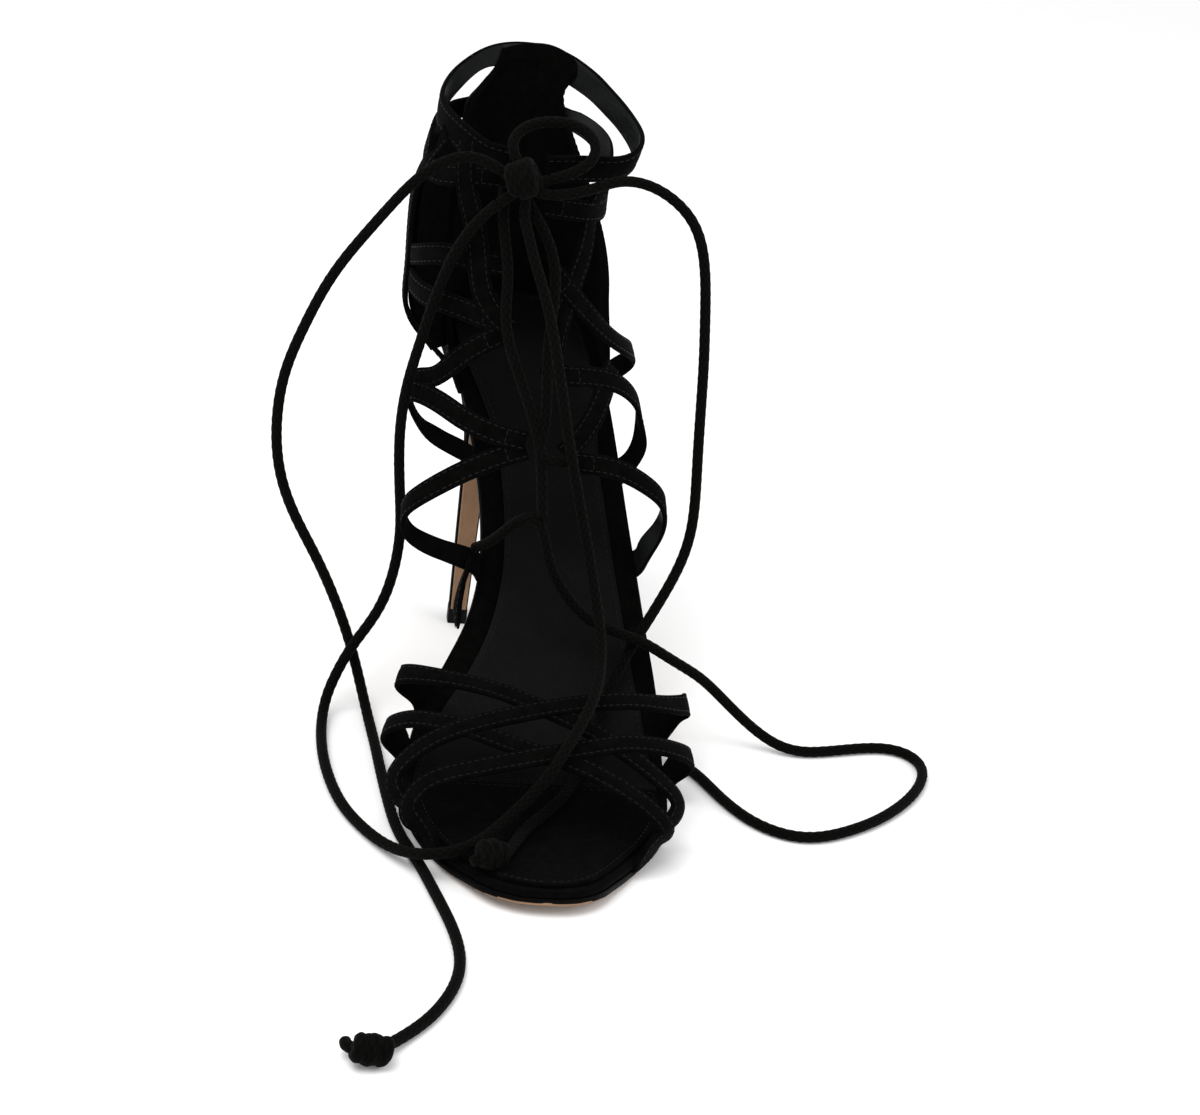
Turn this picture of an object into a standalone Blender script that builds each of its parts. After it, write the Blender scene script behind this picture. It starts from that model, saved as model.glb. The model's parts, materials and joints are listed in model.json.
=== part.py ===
"""Caged lace-up stiletto sandal for the left foot, open at toe, throat and heel sides.

Units are metres, +Z is up, the toe points to -Y and the outer (little toe) side is +X.
Tables are written in millimetres and turned into metres by MM.
"""
import math

import bmesh
import bpy
from mathutils import Vector

MM = 0.001

# Driving sizes, in millimetres
FLOOR_LENGTH = 215.0      # toe tip to back of the seat, measured along the floor
BALL_WIDTH = 82.0         # footbed across the ball
HEEL_RISE = 111.0         # footbed at the back of the seat above footbed at the ball
BOARD = 2.0               # covered footbed board
OUTSOLE = 2.2             # leather outsole
SOCK = 1.2                # insole leather on top of the footbed
GAP = 0.3                 # clearance between neighbouring pieces
BALL_TOP = BOARD + GAP + OUTSOLE   # footbed top above the floor at the ball
STRAP_THICK = 1.6
STRAP_WIDTH = 7.0
COLLAR_WIDTH = 9.5
COUNTER_THICK = 1.8
LACE_DIAMETER = 3.4
TIP_HEIGHT = 5.6
STEM_TOP = 60.0           # height where the slim stem of the heel begins
HEEL_X = -12.0            # centre of the stem, to the inner side
ORIGIN_X = 3.3            # middle of the shoe in the table frame
ORIGIN_Y = 108.8

# Footbed: distance from toe and rise as fractions of length and heel rise,
# inner and outer edge as fractions of ball width
FOOTBED = (
    # along, rise, inner, outer
    (0.000, 0.038, 0.012, 0.012),
    (0.0016, 0.038, 0.056, 0.056),
    (0.006, 0.037, 0.112, 0.108),
    (0.0125, 0.036, 0.150, 0.143),
    (0.021, 0.034, 0.186, 0.178),
    (0.037, 0.030, 0.228, 0.218),
    (0.058, 0.024, 0.267, 0.256),
    (0.105, 0.013, 0.345, 0.340),
    (0.174, 0.003, 0.420, 0.448),
    (0.244, 0.000, 0.460, 0.518),
    (0.314, 0.000, 0.472, 0.550),
    (0.384, 0.022, 0.448, 0.555),
    (0.453, 0.124, 0.384, 0.545),
    (0.500, 0.205, 0.300, 0.525),
    (0.547, 0.305, 0.217, 0.492),
    (0.593, 0.408, 0.176, 0.460),
    (0.649, 0.535, 0.173, 0.420),
    (0.709, 0.676, 0.205, 0.378),
    (0.765, 0.796, 0.250, 0.341),
    (0.826, 0.886, 0.305, 0.310),
    (0.881, 0.939, 0.338, 0.285),
    (0.928, 0.968, 0.328, 0.254),
    (0.965, 0.985, 0.268, 0.195),
    (0.988, 0.995, 0.182, 0.112),
    (1.000, 1.000, 0.070, -0.010),
)

# Bare edge of the footbed beside the insole
SOCK_MARGIN = (
    # along, margin
    (0, 2.5),
    (60, 3.0),
    (84, 4.5),
    (110, 7.2),
    (150, 7.2),
    (175, 4.0),
    (FLOOR_LENGTH, 2.8),
)

# Form of the foot behind the instep, cut level
CAGE_FORM = (
    # height, front, back, inner, outer
    (20, 40, 100, -44, 50),
    (45, 68, 123, -43, 47),
    (60, 84, 136, -43, 46),
    (80, 103, 152, -43, 43.5),
    (100, 118, 173, -42, 37),
    (116, 128, 214, -43, 32),
    (135, 138, 215.5, -43.5, 24),
    (155, 146, 214, -44, 21),
    (164, 148, 213, -43.5, 18.5),
    (171, 150, 213, -41, 20.5),
    (178, 151, 213, -39.5, 27.5),
    (185, 152, 213, -38.5, 31),
    (205, 154, 214.5, -30, 26),
)

# Form of the forefoot, cut across
VAMP_FORM = (
    # along, top, inner, outer
    (14, 17, -35, 34),
    (20, 20, -38, 38.5),
    (30, 25, -43, 44),
    (42, 29, -47, 49),
    (55, 33, -48.5, 51.5),
    (70, 37, -48.5, 53.5),
    (84, 40, -46.5, 54.5),
    (100, 47, -42.5, 54),
)

# Counter: the closed back, a level U at each height
COUNTER_FORM = (
    # height, inner, outer, inner front, outer front, back
    (124, -29.5, 25.5, 184, 184, 215.5),
    (134, -30, 25, 187, 190, 215.5),
    (146, -29.5, 22, 190, 197, 215),
    (160, -29, 16.5, 193, 203, 214.5),
    (174, -28.5, 10, 196, 206.5, 214),
    (184, -27.5, 5.8, 199, 208, 213.5),
    (187.5, -24.5, 5.2, 202.5, 208.5, 212.8),
    (191, -21.5, 6.2, 206.5, 208.8, 212.8),
    (194.5, -19, 7.8, 208.2, 209, 213),
    (198, -17.4, 9.6, 209, 209, 213),
    (203, -16.4, 10.2, 209.4, 209.4, 213.3),
)

# Side panel on the inner side: x, distance from toe and height of its back edge at the counter, then of its
# front edge at the rearmost hoop
PANEL_FORM = (
    (-28.0, 180, 107.5, -33.0, 173.5, 107.5),
    (-28.5, 182, 112, -36.4, 173.0, 112),
    (-30.4, 187, 124, -41.9, 173.4, 124),
    (-30.8, 190, 136, -42.2, 175.0, 136),
    (-30.4, 193, 150, -42.6, 176.8, 150),
    (-29.8, 196, 163, -42.2, 177.0, 163),
    (-29.3, 198, 172, -40.6, 176.0, 172),
    (-28.8, 199, 176, -41.0, 172.0, 177),
    (-28.4, 200, 178.5, -40.0, 171.0, 182.5),
)

# Band round the ankle: x, distance from toe, height, lean of its top outwards in degrees
COLLAR_ROUTE = (
    (-17.4, 152.6, 180, 0), (-25.9, 156.3, 181, 0), (-32.2, 162.4, 184, -4), (-37.1, 172.6, 186, -4),
    (-38.3, 181, 187, -3), (-37.2, 189.3, 188, -2), (-31.9, 201.1, 191.4, 0), (-22.1, 209.0, 196.6, 0),
    (-13.6, 212.6, 198, 0), (-2.5, 214.0, 197.6, 0), (6.0, 212.9, 195.6, 0), (11.2, 209.6, 193.4, 0),
    (15.1, 205, 192, 0), (18.8, 198, 189.8, 0), (22, 190, 188.2, 0), (24.4, 181, 186.6, 2), (25.8, 173, 185.3, 6),
    (26.3, 166, 183.9, 12), (24.4, 159.5, 181.7, 18), (19.4, 155.3, 180.0, 20), (12.7, 153, 179.8, 18),
    (6.1, 151.5, 180.0, 12), (-0.2, 150.5, 179.6, 6), (-5.0, 150.2, 179.2, 4),
)

# Routes of the cage straps: angle round the form (0 outer, 90 front, 180 inner, 270 back) and height
INNER_STRAPS = (
    # name, rim distance from toe (or None), route of (angle, height) or (angle, height, lift)
    ("inner_hoop_front", 129, ((212, 59, -5), (197, 65), (180, 73), (158, 79.5), (140, 85), (128, 89),
                               (117, 92.5), (107.5, 95.3), (93.5, 98.8))),
    ("inner_hoop_middle", 152, ((204, 88, -8), (192, 94, -3), (180, 102), (158, 106), (136, 106.5), (121, 104),
                                (107, 102), (93.5, 100.5))),
    ("inner_fork", None, ((192, 99), (168, 107), (140.5, 112), (129.5, 117), (120, 121.7), (113, 124.6),
                          (105.5, 127.1), (97, 129.8))),
    ("inner_hoop_back", 172, ((186, 112, -6), (180, 122), (178, 136), (177, 150), (175, 163), (168, 174),
                              (156, 183))),
    ("inner_band", None, ((178, 133), (166, 133), (150, 133.3), (136, 134.3), (125, 134.6), (116, 134.2),
                          (106.5, 133.4), (97, 133))),
    ("inner_post", None, ((94, 131), (100, 134), (106, 138), (109.3, 143.5), (110, 150), (111.5, 157),
                          (116, 164.6), (127, 171.5), (136, 184))),
    ("inner_bridge", None, ((180, 139), (166, 142.3), (151, 145.6), (130, 149), (113, 149.4), (96, 149.2))),
    ("inner_stay", None, ((238, 181), (212, 180), (186, 176), (168, 171.5), (153, 170.5), (131, 173.4),
                          (116.5, 174.8), (107, 175.2))),
)
OUTER_STRAPS = (
    ("outer_hoop_front", 132, ((326, 62, -1), (350, 71, -1.5), (370, 81), (392, 88), (414, 94), (436, 96))),
    ("outer_hoop_middle", 152, ((334, 90, -1), (346, 95, -2.5), (360, 101, -2.5), (378, 107, -1), (404, 115),
                                (436, 119))),
    ("outer_fork", None, ((440, 98), (428, 104), (416, 111), (400, 119))),
    ("outer_hoop_back", 176, ((351, 110), (358, 112.7), (369, 117), (383, 121.5), (398, 127.5), (415, 137),
                              (434, 148))),
    ("outer_brace", None, ((441, 119), (433, 131), (420, 144), (408, 155), (399, 167), (398, 182))),
    ("outer_stay", None, ((283, 179.5), (291, 178.3), (298, 177.8), (307, 176.8), (317.5, 175.4), (329, 174),
                          (341, 171.8), (358, 167), (376, 163.2), (392, 163.6), (410, 165.4), (440, 168))),
)

# Small stay low on the inner side: distance from toe, lift over the footbed and distance out from its edge
INNER_LINK = ((114.8, -1.2, 2.2), (116.4, -0.8, 3.6), (118, -0.2, 4.6), (120, 0.5, 5.4), (122.3, 1.4, 5.9),
              (124.4, 3.6, 5.8), (126.6, 6.6, 5.4), (128.6, 9.4, 5.4))

# Routes of the forefoot straps: distance from toe and angle over the foot (180 inner, 0 outer)
VAMP_STRAPS = (
    # name, inner rim, outer rim, route
    ("vamp_rear_inner", 99, 37, ((95, 165), (91, 150), (84, 129), (78.5, 115), (73, 102), (66, 91), (58.5, 81),
                                 (52, 69), (46.5, 56), (42, 41), (39.5, 25))),
    ("vamp_rear_outer", 41, 95, ((45, 160), (49, 146), (52, 133), (55, 120), (58, 106), (61, 96), (65, 88),
                                 (69, 76), (73, 63), (78, 46), (85, 30), (91, 16))),
    ("vamp_front_inner", 83, 29, ((76, 165), (72, 153), (67.5, 139), (62, 126), (57, 113), (51, 101), (46, 91),
                                  (43, 84), (39, 75), (35, 64), (31, 49), (28, 34), (27.5, 21))),
    ("vamp_front_outer", 29, 78, ((31, 160), (34, 148), (37, 137), (38, 126), (39, 113), (41, 101), (44, 91),
                                  (48, 81), (53, 66), (57, 48), (62, 30), (67, 17))),
)

# The two runs of the lace down the throat: angle and height, top to bottom
LACE_INNER = ((103, 173), (97, 160), (94.5, 149), (95.5, 140), (97, 133), (96, 126), (93, 116), (91, 108),
              (89.6, 101))
LACE_OUTER = ((92, 171), (80, 162), (74, 150), (74.5, 143), (79, 131), (84, 119), (86.5, 106), (89, 100),
              (92.5, 97), (90, 94.8), (83, 94.5), (76, 95.5))

# Free laces: x, distance from toe, height
ROUTES = {
    "lace_end_inner": (
        (-19.5, 145, 179.3), (-24, 146, 182.5), (-31, 148, 183.5), (-39, 149, 179.5), (-46, 150, 173),
        (-52, 150, 165), (-58, 149, 157), (-69, 147, 141), (-77, 144, 123), (-82, 141, 108),
        (-83, 137, 90), (-80.5, 134, 76), (-75.5, 131, 65), (-67, 129, 51), (-59.5, 128, 36),
        (-53.5, 128, 21), (-49.5, 125, 9), (-47, 114, 2.8), (-45.5, 98, 2), (-44, 72, 2),
        (-41, 42, 2), (-35.8, 24.6, 2), (-32.6, 10.2, 2), (-29.2, -5.4, 2), (-27.5, -16.5, 2),
        (-27.1, -26.9, 2), (-28.7, -37.2, 2), (-31.6, -45.4, 2), (-35.1, -52.5, 2), (-38.8, -58.6, 2),
        (-43, -63.6, 2), (-47.0, -68.2, 2.2), (-50.6, -72.8, 3.2)),
    "lace_loop_long": (
        (-20.5, 141.5, 170.2), (-25, 143, 165), (-30, 144, 157), (-35, 144, 143), (-40, 142, 122),
        (-43, 140, 108), (-44, 137, 93), (-42.5, 132, 75), (-41, 129, 62), (-43.5, 126, 42),
        (-48, 125, 31), (-53, 124, 24), (-57, 123, 15), (-60.5, 120, 7), (-62, 110, 2.6),
        (-62.5, 94, 2), (-61.5, 78, 2), (-57.5, 57, 2), (-51, 42, 2.2), (-44, 30, 3.5),
        (-37.5, 21, 7), (-32, 17, 9.5), (-27, 16.5, 11), (-21, 19, 12), (-15, 26.5, 12.5),
        (-8.5, 32, 16), (-3, 35, 21), (1.8, 36.5, 26.8), (6, 41, 32.8), (10.5, 49, 35.8), (15, 58, 39),
        (18.5, 68, 42), (20.5, 80, 44.5), (21, 90, 49.5), (19.5, 97, 56), (17, 102, 67), (13, 106, 81),
        (9.2, 108.2, 94.5), (5.9, 111.6, 107), (1.5, 119, 126), (-3, 128, 143), (-8, 136, 155),
        (-11.9, 141.7, 166.9)),
    "lace_loop_short": (
        (-14.5, 146.5, 181.5), (-18, 148.5, 184.5), (-18.5, 151.5, 187.5), (-16, 155, 190), (-11, 158, 192),
        (-5, 159, 193), (0, 158, 193.5), (5, 156, 193), (8.5, 153, 191.5), (10.5, 149, 189),
        (10, 146, 185.5), (6, 144.5, 182.5), (1, 144.5, 180), (-4.6, 144.8, 178.3)),
    "lace_end_outer": (
        (-4, 142, 174), (2, 141, 175), (9, 143, 176.5), (15, 146.5, 179), (22, 149, 179), (30, 150, 177),
        (37, 149, 173), (42, 148, 169), (45.5, 146, 163), (48, 143, 152), (49.5, 140, 137),
        (50.5, 137, 124), (51, 133, 108), (51.5, 130, 95), (52, 124, 76), (51, 121, 68),
        (48.5, 118, 61), (44.5, 114, 54), (40.5, 110, 48), (36, 107, 40.5), (31.5, 102, 34),
        (27, 95, 27), (23, 86, 17.5), (18, 74, 10.5), (12, 60, 8.8), (3, 45, 8.9), (-4, 35, 9.3),
        (-7.5, 26, 9.7), (-11.9, 16.3, 10.9)),
    "lace_slack": (
        (-17.5, 125, 59.8), (-14.5, 120.5, 63), (-11.5, 116, 68.5), (-9, 113, 73), (-5, 110, 79),
        (-1.5, 108, 82), (0.5, 106.5, 80), (3, 105, 68), (6, 105, 61), (10.5, 105, 55), (18, 103.5, 47),
        (26, 102, 44.3), (35, 101.9, 42.5), (43, 103, 37.5), (50, 105, 32.5), (58, 107.5, 27.5),
        (67, 109, 19), (76, 110, 10.5), (86, 109, 3.4), (93, 106, 2), (108, 109, 2), (124, 113, 2),
        (132, 111, 2), (136, 102, 2), (132, 88, 2), (121, 72, 2), (105, 58, 2), (86, 50, 2), (73, 57, 2),
        (64, 72, 2), (58, 88, 2), (51, 99, 2)),
}

COLOURS = {
    "suede": ((0.012, 0.012, 0.013, 1), 0.95, 0.0),
    "smooth_leather": ((0.018, 0.019, 0.021, 1), 0.55, 0.0),
    "sole_leather": ((0.52, 0.33, 0.19, 1), 0.6, 0.0),
    "rubber": ((0.015, 0.015, 0.015, 1), 0.7, 0.0),
    "cord": ((0.010, 0.010, 0.010, 1), 0.9, 0.0),
}


# ---------------------------------------------------------------- helpers
def clear_scene():
    for obj in list(bpy.data.objects):
        bpy.data.objects.remove(obj, do_unlink=True)


def new_collection(name):
    collection = bpy.data.collections.new(name)
    bpy.context.scene.collection.children.link(collection)
    return collection


def make_material(name):
    colour, roughness, metallic = COLOURS[name]
    material = bpy.data.materials.new(name)
    material.use_nodes = True
    shader = material.node_tree.nodes["Principled BSDF"]
    shader.inputs["Base Color"].default_value = colour
    shader.inputs["Roughness"].default_value = roughness
    shader.inputs["Metallic"].default_value = metallic
    return material


def smooth_table(rows, column):
    """Monotone cubic through one column of a table, against its first column."""
    xs = [row[0] for row in rows]
    ys = [row[column] for row in rows]
    slopes = [(ys[i + 1] - ys[i]) / (xs[i + 1] - xs[i]) for i in range(len(xs) - 1)]
    tangents = [slopes[0]]
    for before, after in zip(slopes, slopes[1:]):
        tangents.append(0.0 if before * after <= 0 else 2 * before * after / (before + after))
    tangents.append(slopes[-1])

    def value(x):
        x = min(max(x, xs[0]), xs[-1])
        i = max(k for k in range(len(xs) - 1) if xs[k] <= x)
        h = xs[i + 1] - xs[i]
        t = (x - xs[i]) / h
        return ((1 + 2 * t) * (1 - t) ** 2 * ys[i] + t * (1 - t) ** 2 * h * tangents[i]
                + t * t * (3 - 2 * t) * ys[i + 1] + t * t * (t - 1) * h * tangents[i + 1])
    return value


def world(x, along, height):
    """From the table frame (millimetres, distance from toe) to metres."""
    return Vector((x - ORIGIN_X, along - ORIGIN_Y, height)) * MM


def catmull(points, count_per_span):
    """Smooth curve through vectors, every point kept, free of loops where spans differ in length."""
    ends = [2 * points[0] - points[1]] + list(points) + [2 * points[-1] - points[-2]]
    curve = []
    for a, b, c, d in zip(ends, ends[1:], ends[2:], ends[3:]):
        before, span, after = (max((q - p).length, 1e-6) ** 0.5 for p, q in ((a, b), (b, c), (c, d)))
        leave = (b - a) / before - (c - a) / (before + span) + (c - b) / span
        arrive = (c - b) / span - (d - b) / (span + after) + (d - c) / after
        for step in range(count_per_span):
            t = step / count_per_span
            curve.append(b * ((1 + 2 * t) * (1 - t) ** 2) + c * (t * t * (3 - 2 * t))
                         + leave * (span * t * (1 - t) ** 2) - arrive * (span * t * t * (1 - t)))
    curve.append(points[-1].copy())
    return curve


def resample(points, spacing, partner=None):
    """Points at even distances along a polyline, with a partner list read at the same places."""
    lengths = [0.0]
    for a, b in zip(points, points[1:]):
        lengths.append(lengths[-1] + (b - a).length)
    count = max(2, round(lengths[-1] / spacing))
    result = []
    k = 0
    for i in range(count + 1):
        target = lengths[-1] * i / count
        while k < len(points) - 2 and lengths[k + 1] < target:
            k += 1
        span = lengths[k + 1] - lengths[k]
        t = 0.0 if span == 0 else (target - lengths[k]) / span
        source = points if partner is None else partner
        result.append(source[k].lerp(source[k + 1], t))
    return result


def link_mesh(name, bm, collection, material, smooth_angle=35):
    mesh = bpy.data.meshes.new(name)
    bm.to_mesh(mesh)
    bm.free()
    mesh.shade_smooth()
    mesh.set_sharp_from_angle(angle=math.radians(smooth_angle))
    obj = bpy.data.objects.new(name, mesh)
    obj.data.materials.append(material)
    collection.objects.link(obj)
    return obj


def grid(bm, rows):
    """Quads between neighbouring rows of points."""
    verts = [[bm.verts.new(point) for point in row] for row in rows]
    for lower, upper in zip(verts, verts[1:]):
        for a, b, c, d in zip(lower, lower[1:], upper[1:], upper):
            bm.faces.new((a, b, c, d))
    return verts


def solidify(obj, thickness, offset):
    shell = obj.modifiers.new("Thickness", "SOLIDIFY")
    shell.thickness = thickness * MM
    shell.offset = offset
    shell.use_even_offset = True
    obj.modifiers.new("Flat faces", "TRIANGULATE")


def as_guide(obj):
    obj.hide_render = True
    obj.display_type = "WIRE"


def join(base, others):
    """Union of guide objects into the base object."""
    for other in others:
        as_guide(other)
        union = base.modifiers.new("Join " + other.name, "BOOLEAN")
        union.operation = "UNION"
        union.solver = "EXACT"
        union.object = other


# ---------------------------------------------------------------- footbed and sole
RISE = smooth_table(FOOTBED, 1)
INNER = smooth_table(FOOTBED, 2)
OUTER = smooth_table(FOOTBED, 3)


def footbed_top(along):
    return BALL_TOP + HEEL_RISE * RISE(along / FLOOR_LENGTH)


def inner_edge(along):
    return -BALL_WIDTH * INNER(along / FLOOR_LENGTH)


def outer_edge(along):
    return BALL_WIDTH * OUTER(along / FLOOR_LENGTH)


def footbed_slope(along):
    step = 0.5
    return math.atan2(footbed_top(along + step) - footbed_top(along - step), 2 * step)


def lifted(x, along, lift):
    """A point over the footbed, moved square to its surface."""
    slope = footbed_slope(along)
    return world(x, along - lift * math.sin(slope), footbed_top(along) + lift * math.cos(slope))


# Distances from the toe where every layer of the sole has a row, so that the layers stay parallel
ROW_PLACES = (0, 0.8, 2.5, 6, 12, 20, 30, 41, 52, 61, 69, 77, 84, 90, 96, 102, 108, 115, 122, 130, 138, 146,
              154, 162, 170, 178, 186, 193, 199, 204, 208, 211.5, 213.8, FLOOR_LENGTH)


def sole_layer(name, start, end, lift, thickness, inset, collection, material):
    """A sheet that follows the footbed, its top at the given lift, thickened downwards."""
    places = [start] + [place for place in ROW_PLACES if start + 0.5 < place < end - 0.5] + [end]
    bm = bmesh.new()
    rows = []
    for along in places:
        margin = inset(along)
        rows.append([lifted(inner_edge(along) + margin, along, lift),
                     lifted(outer_edge(along) - margin, along, lift)])
    grid(bm, rows)
    obj = link_mesh(name, bm, collection, material)
    solidify(obj, thickness, -1)
    return obj


def build_sole(parts, materials):
    sole_layer("footbed", 0, FLOOR_LENGTH, 0.0, BOARD, lambda along: 0.0, parts, materials["suede"])
    sole_layer("outsole", 0.0, 162, -(BOARD + GAP), OUTSOLE, lambda along: -0.2, parts,
               materials["sole_leather"])
    margin = smooth_table(SOCK_MARGIN, 1)
    sole_layer("insole_toe", 2.5, 68.7, GAP + SOCK, SOCK, margin, parts, materials["suede"])
    sole_layer("insole", 69, 211.5, GAP + SOCK, SOCK, margin, parts, materials["smooth_leather"])


# ---------------------------------------------------------------- heel
SEAT_FRONT = 164.0
SEAT_BACK = 212.0
STEM_FRONT = 190.5
STEM_BACK = 200.5
STEM_HALF = 4.0
HEEL_ROWS = 9
UNDERSIDE = BOARD + 2 * GAP


def heel_section(level):
    """Rows (along, centre, half width, height) from breast to back; level 0 is the seat, 1 the stem."""
    rows = []
    for k in range(HEEL_ROWS):
        part = k / (HEEL_ROWS - 1)
        spread = math.sin(0.5 * math.pi * part)
        seat_y = SEAT_FRONT + (SEAT_BACK - SEAT_FRONT) * spread
        stem_y = STEM_FRONT + (STEM_BACK - STEM_FRONT) * spread
        seat_half = 0.5 * (outer_edge(seat_y) - inner_edge(seat_y)) - 1.2
        stem_half = STEM_HALF * max(0.3, (1 - max(0.0, spread - 0.35) ** 2 * 2.1)) ** 0.5
        seat_x = 0.5 * (outer_edge(seat_y) + inner_edge(seat_y))
        front_pull = 1 - (1 - level) ** 2.2
        back_pull = level * level * (3 - 2 * level)
        pull = front_pull + (back_pull - front_pull) * part
        narrow = 1 - (1 - level) ** 1.9
        slope = footbed_slope(seat_y)
        top_y = seat_y + UNDERSIDE * math.sin(slope)
        top_z = footbed_top(seat_y) - UNDERSIDE * math.cos(slope)
        rows.append((top_y + (stem_y - top_y) * pull,
                     seat_x + (HEEL_X - seat_x) * narrow,
                     max(0.6, seat_half + (stem_half - seat_half) * narrow),
                     top_z + (STEM_TOP - top_z) * level))
    return rows


def section_loop(rows):
    inner = [world(x - half, along, height) for along, x, half, height in rows]
    outer = [world(x + half, along, height) for along, x, half, height in rows]
    return inner, outer


def build_heel(parts, materials):
    sections = [heel_section(level / 7) for level in range(8)]
    foot = [(STEM_FRONT + 0.4 + (along - STEM_FRONT) * 0.9, HEEL_X, half * 0.78, TIP_HEIGHT + GAP)
            for along, x, half, height in sections[-1]]
    sections.append(foot)
    bm = bmesh.new()
    loops = []
    for rows in sections:
        inner, outer = section_loop(rows)
        loops.append([bm.verts.new(p) for p in inner] + [bm.verts.new(p) for p in reversed(outer)])
    for upper, lower in zip(loops, loops[1:]):
        for i in range(len(upper)):
            j = (i + 1) % len(upper)
            bm.faces.new((upper[i], upper[j], lower[j], lower[i]))
    for loop in (loops[0], loops[-1]):
        for i in range(HEEL_ROWS - 1):
            bm.faces.new((loop[i], loop[i + 1], loop[-2 - i], loop[-1 - i]))
    bmesh.ops.recalc_face_normals(bm, faces=bm.faces)
    link_mesh("heel", bm, parts, materials["suede"], 40)

    bm = bmesh.new()
    outline = [(x - half * 1.06, along) for along, x, half, height in foot]
    outline += [(x + half * 1.06, along) for along, x, half, height in reversed(foot)]
    base = bm.faces.new([bm.verts.new(world(x, along, 0.0)) for x, along in outline])
    raised = bmesh.ops.extrude_face_region(bm, geom=[base])
    bmesh.ops.translate(bm, vec=Vector((0, 0, TIP_HEIGHT * MM)),
                        verts=[v for v in raised["geom"] if isinstance(v, bmesh.types.BMVert)])
    bmesh.ops.recalc_face_normals(bm, faces=bm.faces)
    link_mesh("heel_tip", bm, parts, materials["rubber"])

    bm = bmesh.new()
    rows = []
    for section in sections:
        along, x, half, height = section[0]
        rows.append([world(x - half * 0.86, along - 2 * GAP, height),
                     world(x + half * 0.86, along - 2 * GAP, height)])
    top = rows[0]
    rows[0] = [point + Vector((0, 0.6, -0.9)) * MM for point in top]
    grid(bm, rows)
    breast = link_mesh("heel_breast", bm, parts, materials["sole_leather"])
    solidify(breast, 1.0, -1)


# ---------------------------------------------------------------- straps
CAGE = [smooth_table(CAGE_FORM, column) for column in range(1, 5)]
VAMP = [smooth_table(VAMP_FORM, column) for column in range(1, 4)]
CAGE_POWER = 2 / 2.3
VAMP_POWER = 2 / 2.6


def signed_power(value, power):
    return math.copysign(abs(value) ** power, value)


def cage_point(angle, height):
    front, back, inner, outer = (column(height) for column in CAGE)
    turn = math.radians(angle)
    x = 0.5 * (inner + outer) + 0.5 * (outer - inner) * signed_power(math.cos(turn), CAGE_POWER)
    along = 0.5 * (front + back) - 0.5 * (back - front) * signed_power(math.sin(turn), CAGE_POWER)
    return world(x, along, height)


def vamp_point(along, angle):
    top, inner, outer = (column(along) for column in VAMP)
    base = footbed_top(along) + 3.0
    turn = math.radians(angle)
    x = 0.5 * (inner + outer) + 0.5 * (outer - inner) * signed_power(math.cos(turn), VAMP_POWER)
    height = base + (top - base) * signed_power(math.sin(turn), VAMP_POWER)
    return world(x, along, height)


def outward(surface, u, v):
    """Surface normal by small steps, pointing away from the foot."""
    du = surface(u + 0.4, v) - surface(u - 0.4, v)
    dv = surface(u, v + 0.4) - surface(u, v - 0.4)
    return du.cross(dv).normalized()


def cage_station(angle, height, lift=0.0):
    normal = outward(cage_point, angle, height)
    if normal.dot(cage_point(angle, height) - cage_point(angle + 180, height)) < 0:
        normal = -normal
    return cage_point(angle, height) + normal * lift * MM, normal


def vamp_station(along, angle, lift=0.0):
    normal = outward(vamp_point, along, angle)
    if normal.z < -0.2 or normal.dot(vamp_point(along, angle) - world(0, along, 8)) < 0:
        normal = -normal
    return vamp_point(along, angle) + normal * lift * MM, normal


def collar_stations():
    """Stations of the band round the ankle, its face turned outwards and leaning as the table says."""
    middle = world(-4, 182, 188)
    spots = [world(*row[:3]) for row in COLLAR_ROUTE]
    stations = []
    for i, spot in enumerate(spots):
        run = spots[min(i + 1, len(spots) - 1)] - spots[max(i - 1, 0)]
        away = Vector((run.y, -run.x, 0)).normalized()
        if away.dot(spot - middle) < 0:
            away = -away
        away.z = -math.tan(math.radians(COLLAR_ROUTE[i][3]))
        stations.append((spot, away.normalized()))
    return stations


def rim_station(along, side, lift, out):
    """Beside the edge of the footbed; side is -1 inner, +1 outer."""
    edge = inner_edge if side < 0 else outer_edge
    slope = footbed_slope(along)
    lean = (edge(along + 1) - edge(along - 1)) / 2 * math.cos(slope)
    across = Vector((side, -side * lean * math.cos(slope), -side * lean * math.sin(slope))).normalized()
    return lifted(edge(along), along, lift) + across * out * MM, across


def rim_end(along, side):
    """The last stations of a strap, from the edge of the footbed up towards the foot form."""
    clear = GAP + 0.45 + STRAP_THICK
    return [rim_station(along, side, -BOARD + 0.3, clear), rim_station(along, side, 2.5, clear)]


def ribbon(name, route, width, guides, material, thickness=STRAP_THICK, spacing=6.0):
    """A flat strap along stations of (point, normal)."""
    fine = catmull([point for point, normal in route], 6)
    facing = []
    for (_, a), (_, b) in zip(route, route[1:]):
        facing += [a.lerp(b, step / 6) for step in range(6)]
    facing.append(route[-1][1])
    points = resample(fine, spacing * MM)
    normals = resample(fine, spacing * MM, facing)
    rows = []
    for i, point in enumerate(points):
        tangent = points[min(i + 1, len(points) - 1)] - points[max(i - 1, 0)]
        across = tangent.cross(normals[i]).normalized() * 0.5 * width * MM
        rows.append([point - across, point + across])
    bm = bmesh.new()
    grid(bm, rows)
    obj = link_mesh(name, bm, guides, material)
    solidify(obj, thickness, -1)
    return obj


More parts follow.
